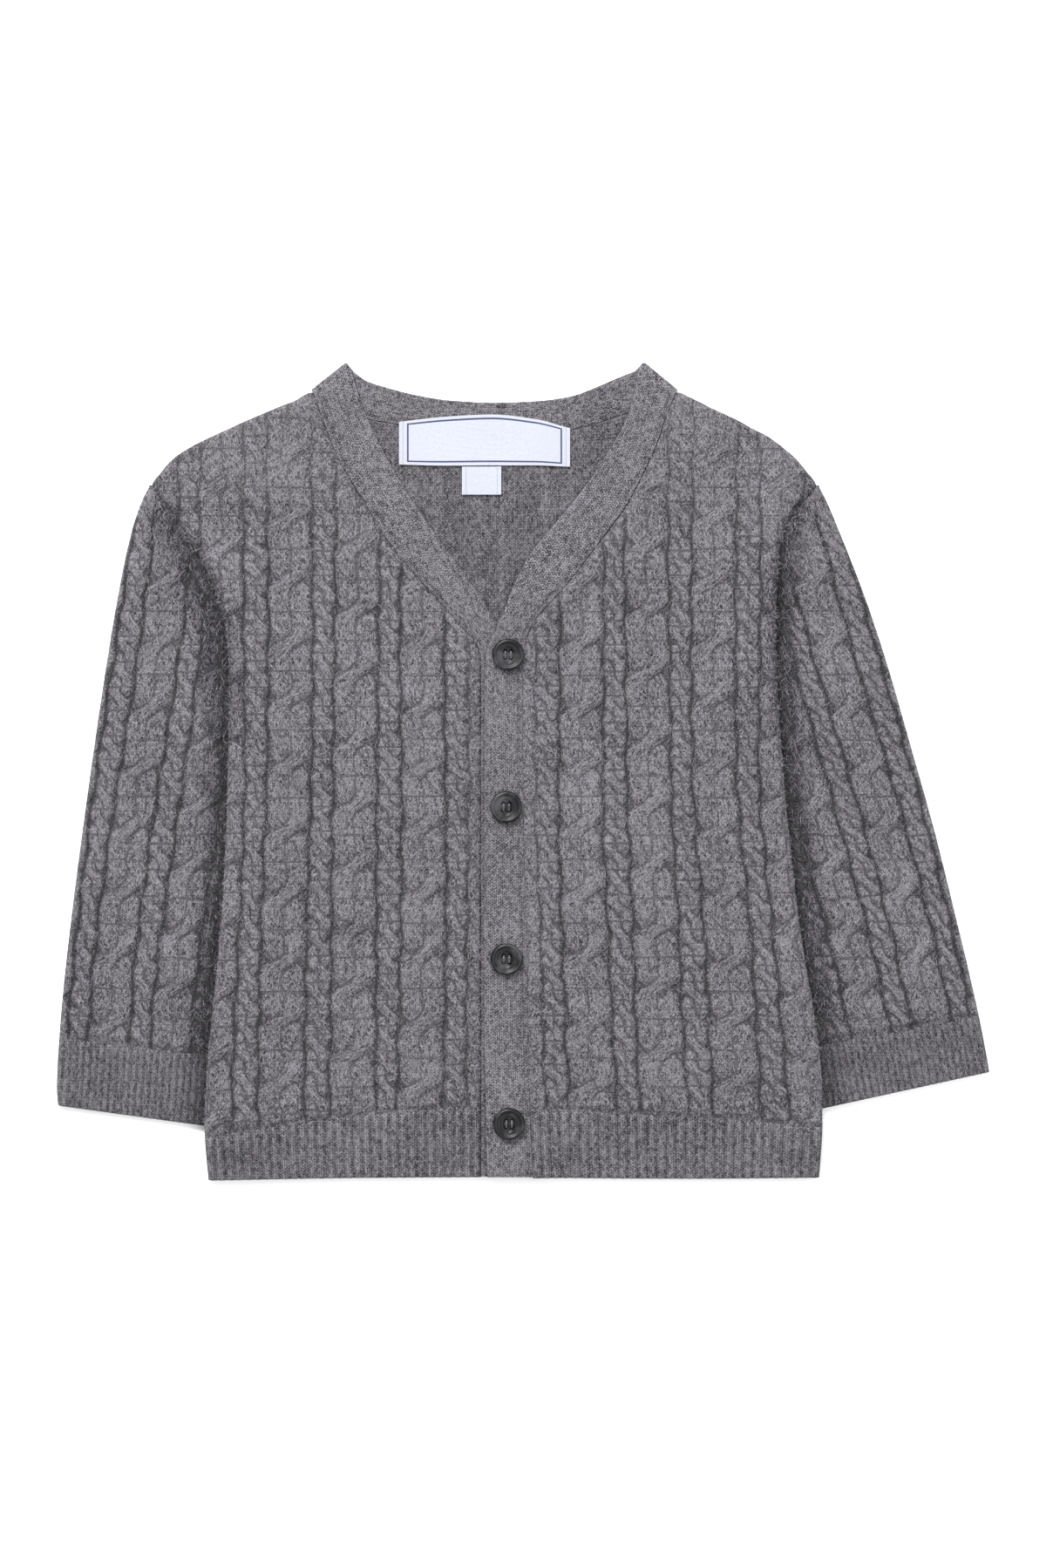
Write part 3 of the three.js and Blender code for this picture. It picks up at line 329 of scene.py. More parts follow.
@dataclass(frozen=True)
class CableRun:
    """Cables side by side: a broad rope, then a slim one, over and over."""

    start: float
    repeat: float
    broad: float
    lean: int
    height: float = 1.6
    sway: float = 0.45

    def _passes(self, index: Array, y: Array) -> Array:
        """Crossings passed by a broad rope at a height, a little uneven."""
        uneven = 1.3 * np.sin(y / 23 + index * 2.1) + 0.7 * np.sin(y / 9 + index * 1.3)
        return (y + uneven) / BROAD_CROSSING + np.mod(index + 1, 2) * 0.45

    def _shift(self, index: Array, y: Array) -> Array:
        """Sideways swing of a broad rope, out to where its upper strand lies."""
        slow = 0.45 * np.sin(y / 31 + index * 1.7)
        return slow - self.lean * self.sway * np.sin(2 * np.pi * self._passes(index, y))

    def relief(self, place: Array, y: Array) -> Relief:
        """Relief of the cables.

        Args:
            place: distance across the cables.
            y: height up the garment.

        Returns:
            Broad ropes that lean one way and slim ones that lean the other, purl grooves between, with painted
            shade in the grooves and painted highlight on the highest strands.
        """
        nearest = np.round((place - self.start) / self.repeat)
        beyond = place - self.start - nearest * self.repeat >= self._shift(nearest, y)
        index = np.where(beyond, nearest, nearest - 1)
        here, following = self._shift(index, y), self._shift(index + 1, y)
        t = place - self.start - index * self.repeat - here
        slim = self.repeat - self.broad + following - here
        is_broad = t < self.broad
        broad_part = t / self.broad * 2 - 1
        slim_part = (t - self.broad) / slim * 2 - 1
        big, big_across, big_crease = rope(
            broad_part * self.lean, self._passes(index, y), 0.46, 0.58, 0.0)
        slim_pass = (y + 0.8 * np.sin(y / 19 + index)) / SLIM_CROSSING + index * 0.37
        small, small_across, small_crease = rope(-slim_part * self.lean, slim_pass, 0.9, 0.56, 0.6)
        edge = np.where(is_broad, np.abs(broad_part), np.abs(slim_part))
        rim = np.clip((1 - edge) * np.where(is_broad, self.broad, slim) / 2 / 1.15, 0, 1)
        shoulder = np.sqrt(1 - (1 - rim) ** 2)
        strand = np.where(is_broad, 0.25 + 0.62 * big, 0.22 + 0.68 * small)
        across = np.where(is_broad, big_across * self.broad / 2, 40 - small_across * slim / 2)
        crease = np.where(is_broad, big_crease, small_crease)
        # Painted highlight on the strands that stand highest; painted shade in the purl grooves and in the
        # creases between strands.
        painted_highlight = np.clip(np.where(is_broad, big - 0.98, 0.9 * small - 0.62), 0, 0.3)
        groove = np.clip((1 - rim) ** 1.3 + 0.5 * crease * rim, 0, 1) - 0.8 * painted_highlight * rim
        return Relief(self.height * strand * shoulder, across, y, groove)


@dataclass(frozen=True)
class Patch:
    """A grid of points, or a pile of grids, with places in the knitting in mm and painted shade values."""

    points: Array
    across: Array
    down: Array
    groove: Array

    @classmethod
    def of(cls, x: Array, y: Array, z: Array, relief: Relief) -> "Patch":
        """Patch from coordinate grids and the relief they carry."""
        shape = np.broadcast(x, y, z).shape
        grid = np.stack([np.broadcast_to(v, shape) for v in (x, y, z)], axis=-1)
        return cls(grid, *(np.broadcast_to(v, shape) for v in (
            relief.across, relief.down, relief.groove)))


def plain(across: Array, down: Array) -> Relief:
    """Relief of plain knitting."""
    zero = np.zeros(np.broadcast(across, down).shape)
    return Relief(zero, across + zero, down + zero, zero)


def build_mesh(name: str, patches: Sequence[Patch]) -> bpy.types.Object:
    """Object of quad grids, smooth, with a UV map and a painted shade attribute.

    Args:
        name: name of the object.
        patches: grids to put in it.

    Returns:
        The linked object, in metres.
    """
    points, quads, uvs, grooves, base = [], [], [], [], 0
    for patch in patches:
        shape = patch.points.shape[:-1]
        index = base + np.arange(int(np.prod(shape))).reshape(shape)
        cells = [index[..., :-1, :-1], index[..., :-1, 1:], index[..., 1:, 1:], index[..., 1:, :-1]]
        quads.append(np.stack(cells, axis=-1).reshape(-1, 4))
        points.append(patch.points.reshape(-1, 3))
        uvs.append(np.stack([patch.across, patch.down], axis=-1).reshape(-1, 2))
        grooves.append(patch.groove.reshape(-1))
        base += index.size
    verts, faces, uv = (np.concatenate(v) for v in (points, quads, uvs))
    mesh = bpy.data.meshes.new(name)
    mesh.vertices.add(len(verts))
    mesh.loops.add(faces.size)
    mesh.polygons.add(len(faces))
    mesh.vertices.foreach_set("co", (verts * MM).astype(np.float32).ravel())
    mesh.loops.foreach_set("vertex_index", faces.astype(np.int32).ravel())
    mesh.polygons.foreach_set("loop_start", np.arange(0, faces.size, 4, dtype=np.int32))
    mesh.polygons.foreach_set("use_smooth", np.ones(len(faces), dtype=bool))
    mesh.uv_layers.new(name="stitches").data.foreach_set(
        "uv", uv[faces.ravel()].astype(np.float32).ravel())
    # groove: painted shade where above 0, painted highlight where below 0
    groove = mesh.attributes.new("groove", "FLOAT", "POINT")
    groove.data.foreach_set("value", np.concatenate(grooves).astype(np.float32))
    mesh.update(calc_edges=True)
    mesh.validate()
    thing = bpy.data.objects.new(name, mesh)
    bpy.context.scene.collection.objects.link(thing)
    return thing


Operand = Union["Signal", float]


class Signal:
    """A shader socket with arithmetic: each operator adds a Math node."""

    def __init__(self, shade: "Shade", socket: bpy.types.NodeSocket) -> None:
        self.shade, self.socket = shade, socket

    def _math(self, operation: str, *values: Operand) -> "Signal":
        return self.shade.node("ShaderNodeMath", *values, operation=operation)

    def __add__(self, other: Operand) -> "Signal":
        return self._math("ADD", self, other)

    def __radd__(self, other: Operand) -> "Signal":
        return self._math("ADD", other, self)

    def __sub__(self, other: Operand) -> "Signal":
        return self._math("SUBTRACT", self, other)

    def __rsub__(self, other: Operand) -> "Signal":
        return self._math("SUBTRACT", other, self)

    def __mul__(self, other: Operand) -> "Signal":
        return self._math("MULTIPLY", self, other)

    def __rmul__(self, other: Operand) -> "Signal":
        return self._math("MULTIPLY", other, self)

    def __truediv__(self, other: Operand) -> "Signal":
        return self._math("DIVIDE", self, other)

    def __rtruediv__(self, other: Operand) -> "Signal":
        return self._math("DIVIDE", other, self)

    def __pow__(self, other: Operand) -> "Signal":
        return self._math("POWER", self, other)

    def sine(self) -> "Signal":
        """Sine of the signal."""
        return self._math("SINE", self)

    def fraction(self) -> "Signal":
        """Part after the decimal point."""
        return self._math("FRACT", self)

    def whole(self) -> "Signal":
        """Largest whole number that isn't greater."""
        return self._math("FLOOR", self)

    def size(self) -> "Signal":
        """Absolute value."""
        return self._math("ABSOLUTE", self)

    def below(self, other: Operand) -> "Signal":
        """1 where the signal is less than the other, else 0."""
        return self._math("LESS_THAN", self, other)

    def smaller(self, other: Operand) -> "Signal":
        """The lesser of both."""
        return self._math("MINIMUM", self, other)

    def span(self, low: float, high: float, start: float = 0.0, end: float = 1.0) -> "Signal":
        """The signal mapped from low..high to start..end and held there."""
        return self.shade.node("ShaderNodeMapRange", self, low, high, start, end)


class Shade:
    """A material's node tree, with one method that adds any node."""

    def __init__(self, name: str) -> None:
        self.material = bpy.data.materials.new(name)
        self.material.use_nodes = True
        self.tree = self.material.node_tree
        self.tree.nodes.clear()

    def node(self, kind: str, *values: object, out: int = 0, **settings: object) -> Signal:
        """Adds a node.

        Args:
            kind: type of the node.
            values: inputs in order, as signals or constants; None leaves an input as it is.
            out: index of the output to hand back.
            settings: properties of the node; names of inputs are set as inputs.

        Returns:
            The chosen output.
        """
        node = self.tree.nodes.new(kind)
        for key, value in settings.items():
            title = key.replace("_", " ").title()
            if title in node.inputs:
                self._feed(node.inputs[title], value)
            else:
                setattr(node, key, value)
        for slot, value in enumerate(values):
            self._feed(node.inputs[slot], value)
        return Signal(self, node.outputs[out]) if node.outputs else None

    def _feed(self, socket: bpy.types.NodeSocket, value: object) -> None:
        if isinstance(value, Signal):
            self.tree.links.new(value.socket, socket)
        elif value is not None:
            socket.default_value = value

    def stitches(self) -> tuple[Signal, Signal]:
        """Place across and along the knitting, in mm."""
        uv = self.node("ShaderNodeUVMap", uv_map="stitches")
        split = self.node("ShaderNodeSeparateXYZ", uv)
        return split, Signal(self, split.socket.node.outputs[1])

    def vector(self, x: Operand, y: Operand, z: Operand = 0.0) -> Signal:
        """Vector of three signals."""
        return self.node("ShaderNodeCombineXYZ", x, y, z)

    def noise(self, vector: Signal, scale: float, detail: float, rough: float) -> Signal:
        """Noise at a vector."""
        return self.node("ShaderNodeTexNoise", vector, scale=scale, detail=detail, roughness=rough)

    def place(self) -> Signal:
        """Object coordinates."""
        return self.node("ShaderNodeTexCoord", out=3)

    def blend(self, part: Operand, first: object, second: object) -> Signal:
        """Mix of two colours."""
        node = self.tree.nodes.new("ShaderNodeMix")
        node.data_type = "RGBA"
        for socket, value in zip((node.inputs[0], node.inputs[6], node.inputs[7]),
                                 (part, first, second)):
            self._feed(socket, value)
        return Signal(self, node.outputs[2])

    def finish(self, colour: object, rough: object, height: Union[Signal, None],
               depth: float, **constants: object) -> bpy.types.Material:
        """Ends the material in a Principled shader.

        Args:
            colour: base colour.
            rough: roughness.
            height: bump height, or None.
            depth: bump distance in metres.
            constants: other inputs of the shader, set on its own sockets.

        Returns:
            The material.
        """
        shader = self.tree.nodes.new("ShaderNodeBsdfPrincipled")
        self._feed(shader.inputs["Base Color"], colour)
        self._feed(shader.inputs["Roughness"], rough)
        for key, value in constants.items():
            shader.inputs[key.replace("_", " ").title().replace("Ior", "IOR")].default_value = value
        if height is not None:
            bump = self.node("ShaderNodeBump", height=height, distance=depth, strength=1.0)
            self._feed(shader.inputs["Normal"], bump)
        output = self.tree.nodes.new("ShaderNodeOutputMaterial")
        self.tree.links.new(shader.outputs[0], output.inputs[0])
        return self.material


@dataclass(frozen=True)
class WoolFinish:
    """Heather grey wool knitting, dark and light fibres carded together."""

    name: str
    dark: tuple[float, float, float, float] = (0.01, 0.0093, 0.0113, 1)
    light: tuple[float, float, float, float] = (0.178, 0.171, 0.187, 1)
    wale: float = 1.38
    course: float = 1.0
    stitch: float = 0.5
    fuzz: float = 0.5
    # Strength of the painted shade mixed in from the groove attribute.
    groove: float = 0.6

    def material(self) -> bpy.types.Material:
        """Material with V stitches, fibre streaks and heather, painted shade in hollows, painted highlight on
        raised strands and broad patches of painted light and shade.

        Returns:
            The material; a stitch is two bars that lean to the middle of its wale.
        """
        shade = Shade(self.name)
        across, down = shade.stitches()
        place = shade.place()
        groove = shade.node("ShaderNodeAttribute", attribute_name="groove", out=2)
        wale = (across / self.wale).fraction()
        leg = (wale - 0.5).size() * 2
        course = down / self.course + leg * 0.8
        bar = (course * np.pi).sine().size()
        leg_round = (leg * np.pi).sine().size()
        # The stitch pattern raises the bars in the bump; in the colour it also darkens the gaps between bars,
        # which is painted shade.
        stitch = bar ** 0.6 * (0.25 + 0.75 * leg_round ** 0.6)
        cell = shade.vector((across / self.wale * 2).whole(), course.whole())
        yarn = shade.node("ShaderNodeTexWhiteNoise", cell, noise_dimensions="2D")
        streaks = shade.noise(shade.vector(across * 2.3, down * 0.8), 1.0, 4.0, 0.6)
        fine = shade.noise(place, 1700.0, 2.0, 0.6)
        heather = shade.noise(place, 420.0, 3.0, 0.6)
        # Broad patches lighter and darker at random: painted light and shade of soft undulations.
        cloud = shade.noise(place, 60.0, 2.0, 0.5)
        tone = (streaks - 0.5) * 1.6 * self.fuzz + (fine - 0.5) * 1.7 + (heather - 0.5) * 0.5
        tone = tone + (yarn - 0.5) * 0.5
        # The groove attribute darkens the level where shade falls and lightens it where highlights fall.
        level = tone + (cloud - 0.5) * 0.35 + (stitch - 0.5) * 0.7 * self.stitch + 0.43 - groove * 0.18
        colour = shade.blend(level.span(0.0, 1.0), self.dark, self.light)
        # Painted shade: colour pulled towards near black where groove is high.
        shaded = shade.blend(groove.span(0.0, 1.0, 0.0, self.groove), colour, (0.0085, 0.008, 0.0095, 1))
        height = stitch * self.stitch + streaks * self.fuzz + fine * 0.4
        return shade.finish(shaded, 0.95, height, 0.00028,
                            sheen_weight=0.05, sheen_roughness=0.5, specular_ior_level=0.08)


@dataclass(frozen=True)
class HornFinish:
    """Dark horn-like plastic with clouded streaks."""

    name: str = "horn_plastic"

    def material(self) -> bpy.types.Material:
        """Material with soft streaks of lighter grey and a fine wear in the gloss."""
        shade = Shade(self.name)
        place = shade.place()
        cloud = shade.noise(place, 160.0, 3.0, 0.55)
        fine = shade.noise(place, 1500.0, 2.0, 0.5)
        colour = shade.blend(cloud.span(0.48, 0.66), (0.003, 0.003, 0.004, 1), (0.034, 0.034, 0.038, 1))
        return shade.finish(colour, fine.span(0.2, 0.8, 0.28, 0.42), fine, 0.00002,
                            coat_weight=0.05, coat_roughness=0.2, specular_ior_level=0.25)


@dataclass(frozen=True)
class WovenFinish:
    """White woven label with a thin navy frame."""

    name: str
    width: float
    length: float
    frame: float = 1.3
    framed: bool = True

    def material(self) -> bpy.types.Material:
        """Material with a satin weave, a navy line inside the edge and a painted shade line at each folded
        end.
        """
        shade = Shade(self.name)
        across, down = shade.stitches()
        half, reach = self.width / 2 - 2.4 * self.frame, self.length / 2 - self.frame
        side, end = (across.size() - half).size(), (down.size() - reach).size()
        thin = 0.3 if self.framed else 0.0
        line = side.below(thin) * down.size().below(reach + 0.2)
        line = line + end.below(thin) * across.size().below(half + 0.2)
        # Painted shade line where each end of the label folds under.
        fold = (across.size() - (self.width / 2 - 1.1 * self.frame)).size().below(0.14) * 0.3
        line = line + fold
        weave = ((across * 14).sine() * (down * 9).sine()).size()
        fine = shade.noise(shade.place(), 2400.0, 2.0, 0.5)
        cloth = shade.blend(fine, (0.27, 0.285, 0.33, 1), (0.4, 0.415, 0.465, 1))
        colour = shade.blend(line.smaller(1.0), cloth, (0.02, 0.028, 0.085, 1))
        return shade.finish(colour, 0.7, weave + fine * 0.5, 0.00008, sheen_weight=0.1)


@dataclass(frozen=True)
class FloorFinish:
    """Pale even floor."""

    name: str = "pale_floor"

    def material(self) -> bpy.types.Material:
        """Matt off-white with a barely seen grain."""
        shade = Shade(self.name)
        grain = shade.noise(shade.place(), 30.0, 2.0, 0.5)
        colour = shade.blend(grain, (0.93, 0.93, 0.93, 1), (0.95, 0.95, 0.95, 1))
        return shade.finish(colour, 0.9, None, 0.0)


def settle(thing: bpy.types.Object, material: bpy.types.Material, slot: str,
           *nodes: str) -> bpy.types.Object:
    """Dresses a piece, seats it on the body and lets it stand for its CAD nodes.

    Args:
        thing: the piece.
        material: its material.
        slot: name of a material slot, not used.
        nodes: CAD nodes that it replaces.

    Returns:
        The piece.
    """
    thing.data.materials.append(material)
    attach(thing, "root")
    if nodes:
        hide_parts(*nodes)
    LOG.info("%s: %d vertices", thing.name, len(thing.data.vertices))
    return thing


Row = Callable[[Array], Array]


def meet(row: Row, edge: Callable[[Array], Array], start: float, count: int) -> Array:
    """Where rows meet an outline.

    Args:
        row: height of the rows by distance out.
        edge: outline's distance out by height.
        start: first guess of the distance.
        count: number of rows.

    Returns:
        Distance out, a row each, found by going back and forth between both.
    """
    out = np.full((count, 1), start)
    for _ in range(14):
        out = edge(row(out))
    return out


def columns_between(low: Array, high: Array, step: float, rim: Array) -> Array:
    """Places from edge to edge, closer together at the rims.

    Args:
        low: inner edge, a row each.
        high: outer edge, a row each.
        step: spacing of the middle columns on the widest row.
        rim: distances from an edge of the rim columns, from 0 up.

    Returns:
        A row of distances for each row.
    """
    width = high - low
    scale = np.minimum(1.0, width / (3 * rim[-1]))
    middle = max(2, int(np.ceil((width.max() - 2 * rim[-1]) / step)))
    parts = np.linspace(0, 1, middle + 1)[None, 1:-1]
    start, end = low + rim[-1] * scale, high - rim[-1] * scale
    return np.concatenate(
        [low + rim[None] * scale, start + (end - start) * parts, high - rim[None, ::-1] * scale], axis=1)


RIM = np.array([0.0, 0.1, 0.3, 0.65, 1.15, 1.8])


def cosine_of(edge: Array, row: Array) -> Array:
    """How far an outline turns from upright, as the cosine that makes level distances true."""
    slope = np.gradient(edge[:, 0]) / np.maximum(np.abs(np.gradient(row[:, 0])), 1e-6)
    return (1 / np.sqrt(1 + slope ** 2))[:, None]


FRONT_CABLES = {side: CableRun(12.5, 23.8, 15.6, side.sign) for side in Side}
SLEEVE_CABLES = {side: CableRun(10.6, 22.5, 14.6, -side.sign) for side in Side}


def body_row(side: Side, levels: Array) -> Row:
    """Rows of a front or the back: along the hem seam at first, then level."""
    follow = ease(1 - (levels + 119.2) / 70)

    def row(out: Array) -> Array:
        return levels + follow * (along(HEM_SEAM, side.column, np.abs(out)) + 119.2)

    return row


def widen(side: Side, y: Array) -> Array:
    """Spread of the cables towards the hem."""
    return 1 + (0.045 if side is Side.RIGHT else 0.085) * np.clip((-5 - y) / 108, 0, 1)


@dataclass
class Front:
    """One cable-knit front."""

    side: Side
    finish: WoolFinish
    step: float = 0.72

    def surface(self) -> Patch:
        """Surface of the front.

        Returns:
            The grid. Its height is the pile, the lift over the sleeve, the rise to the band and the
            cables, less the roundings at the side and at the seams.
        """
        side = self.side
        levels = np.linspace(-119.4, 134.6, int(252 / self.step))[:, None]
        row = body_row(side, levels)
        low = meet(row, lambda h: band_seam(side, h) - 0.25, 20.0, len(levels))
        high = meet(row, lambda h: body_edge(side, h), 100.0, len(levels))
        out = columns_between(low, high, self.step, RIM)
        y = row(out)
        place = (out - band_seam(side, np.minimum(y, 30))) / widen(side, y)
        cables = FRONT_CABLES[side].relief(place, y)
        to_high = (high - out) * cosine_of(high, row(high))
        to_low = (out - low) * cosine_of(low, row(low))
        from_hem = levels + 119.5
        near = np.minimum(to_low - 0.4, from_hem - 0.3)
        plain_strip = np.clip((place - 3.8) / 1.2, 0, 1)
        pressed = 0.25 + 0.75 * ease((126 - y) / 66)
        fade = ease(near / 2.2) * ease((to_high + 0.6) / 3) * plain_strip * pressed
        z = PILE + lift(side, out, y) + rise(side, out, y) + cables.height * fade
        z = z - rounding(to_high, EDGE_RADIUS) - rounding(to_low, 0.4)
        z = z + 0.3 * waves(out, y, 3 + side.column, 60.0)
        # Painted shade along the band seam of the right front, below the upper band's edge.
        placket_painted_shade = 0.85 * np.exp(-to_low / 1.0) * (y < 46) if side is Side.RIGHT else 0.0
        # Painted shade near the armhole edge of the front, where it meets the sleeve.
        armhole = 0.8 * np.clip(1 - to_high / 5, 0, 1) ** 1.5 * ease((y - 4) / 20) * ease((112 - y) / 16)
        # Painted shade along the seam with the band.
        seam = (0.5 if side is Side.RIGHT else 0.2) * np.exp(-((to_low - 0.3) / 0.35) ** 2)
        groove = np.clip(cables.groove * fade + placket_painted_shade + armhole + seam, -0.6, 1)
        relief = Relief(cables.height, cables.across, cables.down, groove)
        return Patch.of(side.sign * out, y, z, relief)

    def build(self, surface: Patch) -> bpy.types.Object:
        """Front as one sheet of knitting that turns over at its rims.

        Args:
            surface: its grid.

        Returns:
            The piece.
        """
        thing = build_mesh(f"knit_front_{self.side.label}", [surface])
        settle(thing, self.finish.material(), "knit", f"front_{self.side.label}")
        return thing


@dataclass
class Fuzz:
    """Loose fibres brushed up from the knitting."""

    name: str
    count: int
    finish: WoolFinish
    seed: int

    def build(self, surface: Patch) -> bpy.types.Object:
        """Fibres as narrow bowed ribbons, most of them along the wales, some across the rims.

        Args:
            surface: knitting that they lie on.

        Returns:
            The piece.
        """
        rng = np.random.default_rng(self.seed)
        rows, columns = surface.points.shape[:2]
        count = self.count
        row = rng.integers(3, rows - 3, count)
        at_rim = rng.random(count) < 0.12
        rim = np.where(rng.random(count) < 0.5, rng.integers(1, 5, count), columns - rng.integers(2, 6, count))
        column = np.where(at_rim, rim, rng.integers(8, columns - 8, count))
        root = surface.points[row, column][:, None]
        heading = np.where(at_rim, rng.uniform(0, np.pi, count), rng.normal(np.pi / 2, 0.5, count))[:, None]
        length, bow = rng.uniform(1.4, 3.8, count)[:, None], rng.normal(0, 0.5, count)[:, None]
        t = np.linspace(-0.5, 0.5, 5)[None]
        ahead = np.stack([np.cos(heading), np.sin(heading), 0 * heading], axis=-1)
        aside = np.stack([-np.sin(heading), np.cos(heading), 0 * heading], axis=-1)
        path = root + ahead * (length * t)[..., None] + aside * (bow * length * t * t)[..., None]
        path[..., 2] += 0.12 + rng.uniform(0.05, 0.45, count)[:, None] * np.cos(np.pi * t)
        width = (0.055 * (1 - 3 * t * t))[..., None]
        grid = np.stack([path - aside * width, path + aside * width], axis=2)
        shape = grid.shape[:-1]
        across = np.broadcast_to(rng.uniform(0, 90, count)[:, None, None], shape)
        down = np.broadcast_to(rng.uniform(0, 90, count)[:, None, None] + t[..., None], shape)
        thing = build_mesh(self.name, [Patch(grid, across, down, np.zeros(shape))])
        return settle(thing, self.finish.material(), "knit")


@dataclass
class HemRib:
    """Ribbed hem of a front."""

    side: Side
    finish: WoolFinish
    ribs: int = 30

    def build(self) -> bpy.types.Object:
        """Hem rib: cosine ribs across, rounded at its lower end.

        Returns:
            The piece.
        """
        side = self.side
        share = np.concatenate([[0, 0, 0.01, 0.03, 0.06], np.linspace(0.1, 1, 30)])[:, None]

        def row(out: Array) -> Array:
            low = along(HEM_END, side.column, out)
            return low + (along(HEM_SEAM, side.column, out) + 0.1 - low) * share

        low = meet(row, lambda h: band_seam(side, h) - 0.25, 20.0, len(share))
        high = meet(row, lambda h: body_edge(side, h), 100.0, len(share))
        out = columns_between(low, high, 0.36, RIM)
        y = row(out)
        part = (out - low) / (high - low) * self.ribs
        rib = 0.5 - 0.5 * np.cos(2 * np.pi * part)
        from_end = (share - share[1]) * 24
        from_seam = (1 - share) * 24
        z = PILE + lift(side, out, y) + rise(side, out, y) + 1.0 * rib ** 0.8 * ease(from_seam / 3)
        z = z - rounding(high - out, EDGE_RADIUS) - rounding(out - low, 0.4)
        z = z - rounding(from_end, 0.9) - 0.03
        z = z + 0.3 * waves(out, y, 3 + side.column, 60.0)
        z[0] -= 0.7
        # Painted shade in the hollows between ribs, and on the right side along the band seam below the upper
        # band's edge.
        groove = (1 - rib) ** 2.4 * 0.5
        if side is Side.RIGHT:
            groove = np.clip(groove + 0.85 * np.exp(-(out - low) / 1.0), 0, 1)
        relief = Relief(rib, part * 2.76, y, groove)
        thing = build_mesh(f"knit_hem_rib_{side.label}", [Patch.of(side.sign * out, y, z, relief)])
        settle(thing, self.finish.material(), "rib", f"hem_rib_front_{side.label}")
        return thing


@dataclass
class Back:
    """The back: its inside shows through the neck, its right side lies on the floor."""

    outside: WoolFinish
    inside: WoolFinish
    step: float = 1.1

    def _half(self, side: Side, under: bool) -> Patch:
        levels = np.linspace(-119.5, 134.4, int(252 / self.step))[:, None]
        row = body_row(side, levels)
        sign = 1 if side is Side.RIGHT else -1
        neck = np.where(levels >= NECK_LEVEL, along(BACK_NECK, side.column, levels), sign * 9.5)
        high = meet(row, lambda h: body_edge(side, h), 100.0, len(levels))
        out = columns_between(np.minimum(neck, high - 1.5), high, self.step, RIM)
        y = row(out)
        cables = CableRun(-7.8, 23.8, 15.6, side.sign, 0.8).relief(out, y)
        edge = rounding((high - out) * cosine_of(high, row(high)), EDGE_RADIUS)
        if under:
            z = lift(side, out, y) + np.clip(0.95 - cables.height, 0, 0.9) + edge
            return Patch.of(side.sign * out, y, z, cables)
        inward = np.clip(0.6 - 0.6 * cables.height, 0, 0.6)
        x = side.sign * out
        label = ease((x + 48) / 3) * ease((20 - x) / 3) * ease((y - 94) / 3)
        z = WALL + lift(side, out, y) + inward * ease((high - out) / 6) * (1 - label)
        # Painted shade over the inside, lessening on its raised ribs, where it turns to painted highlight.
        ribs = Relief(inward, out, y, np.clip(0.35 - 0.9 * inward, -0.3, 0.6))
        return Patch.of(side.sign * out, y, z, ribs)

    def build(self) -> list[bpy.types.Object]:
        """Back as two sheets, the inside above the outside.

        Returns:
            The pieces.
        """
        outside = build_mesh("knit_back", [self._half(side, True) for side in Side])
        settle(outside, self.outside.material(), "knit", "back")
        inside = build_mesh("knit_back_inside", [self._half(side, False) for side in Side])
        settle(inside, self.inside.material(), "knit")
        return [outside, inside]


@dataclass
class BackHem:
    """Ribbed hem of the back."""

    finish: WoolFinish

    def build(self) -> bpy.types.Object:
        """Back hem: an upper and a lower face, ribs on the lower one.

        Returns:
            The piece.
        """
        patches = []
        for side in Side:
            share = np.linspace(0, 1, 22)[:, None]

            def row(out: Array, side: Side = side) -> Array:
                low = along(HEM_END, side.column, np.abs(out))
                return low + (along(HEM_SEAM, side.column, np.abs(out)) - 0.2 - low) * share

            high = meet(row, lambda h, side=side: body_edge(side, h), 100.0, len(share))
            centre = np.full_like(high, 9.5 if side is Side.RIGHT else -9.5)
            out = columns_between(centre, high, 0.45, RIM)
            y = row(out)
            rib = 0.5 - 0.5 * np.cos(2 * np.pi * out / 3.25)
            end = rounding(share * 24, 0.7)
            edge = rounding(high - out, EDGE_RADIUS)
            base = lift(side, out, y)
            # Painted shade in the hollows between ribs.
            relief = Relief(rib, out, y, (1 - rib) ** 2.4 * 0.5)
            patches.append(Patch.of(side.sign * out, y, base + 0.6 * (1 - rib) + end + edge, relief))
            patches.append(Patch.of(side.sign * out, y, base + WALL - end, plain(out, y)))
        thing = build_mesh("knit_hem_rib_back", patches)
        settle(thing, self.finish.material(), "rib", "hem_rib_back")
        return thing


def tube_patch(side: Side, row: Row, count: int, step: float,
               face: Callable[[Array, Array, bool], tuple[Array, Relief]]) -> list[Patch]:
    """Upper and lower face of a flattened tube, rounded into one another at both folds.

    Args:
        side: side of the wearer.
        row: height of the rows by distance out.
        count: number of rows.
        step: spacing of the columns.
        face: height above the floor and relief, by distance out and height, for upper or lower.

    Returns:
        Both faces.
    """
    low = meet(row, lambda h: along(SLEEVE_INNER, side.column, h) - 1.6 * ease((h - 12) / 20), 100.0, count)
    high = meet(row, lambda h: along(SLEEVE_OUTER, side.column, h), 160.0, count)
    patches = []
    for upper in (True, False):
        out = columns_between(low, high, step if upper else step * 1.6, RIM)
        y = row(out)
        height, relief = face(out, y, upper)
        to_edge = np.minimum(high - out, out - low) * cosine_of(high, row(high))
        fold = rounding(to_edge, EDGE_RADIUS)
        fade = ease((to_edge + 0.4) / 3)
        z = PILE + height * fade - fold if upper else height * fade + fold
        z = np.where(upper, np.maximum(z, EDGE_RADIUS), np.minimum(z, EDGE_RADIUS))
        patches.append(Patch.of(side.sign * out, y, z, relief))
    return patches


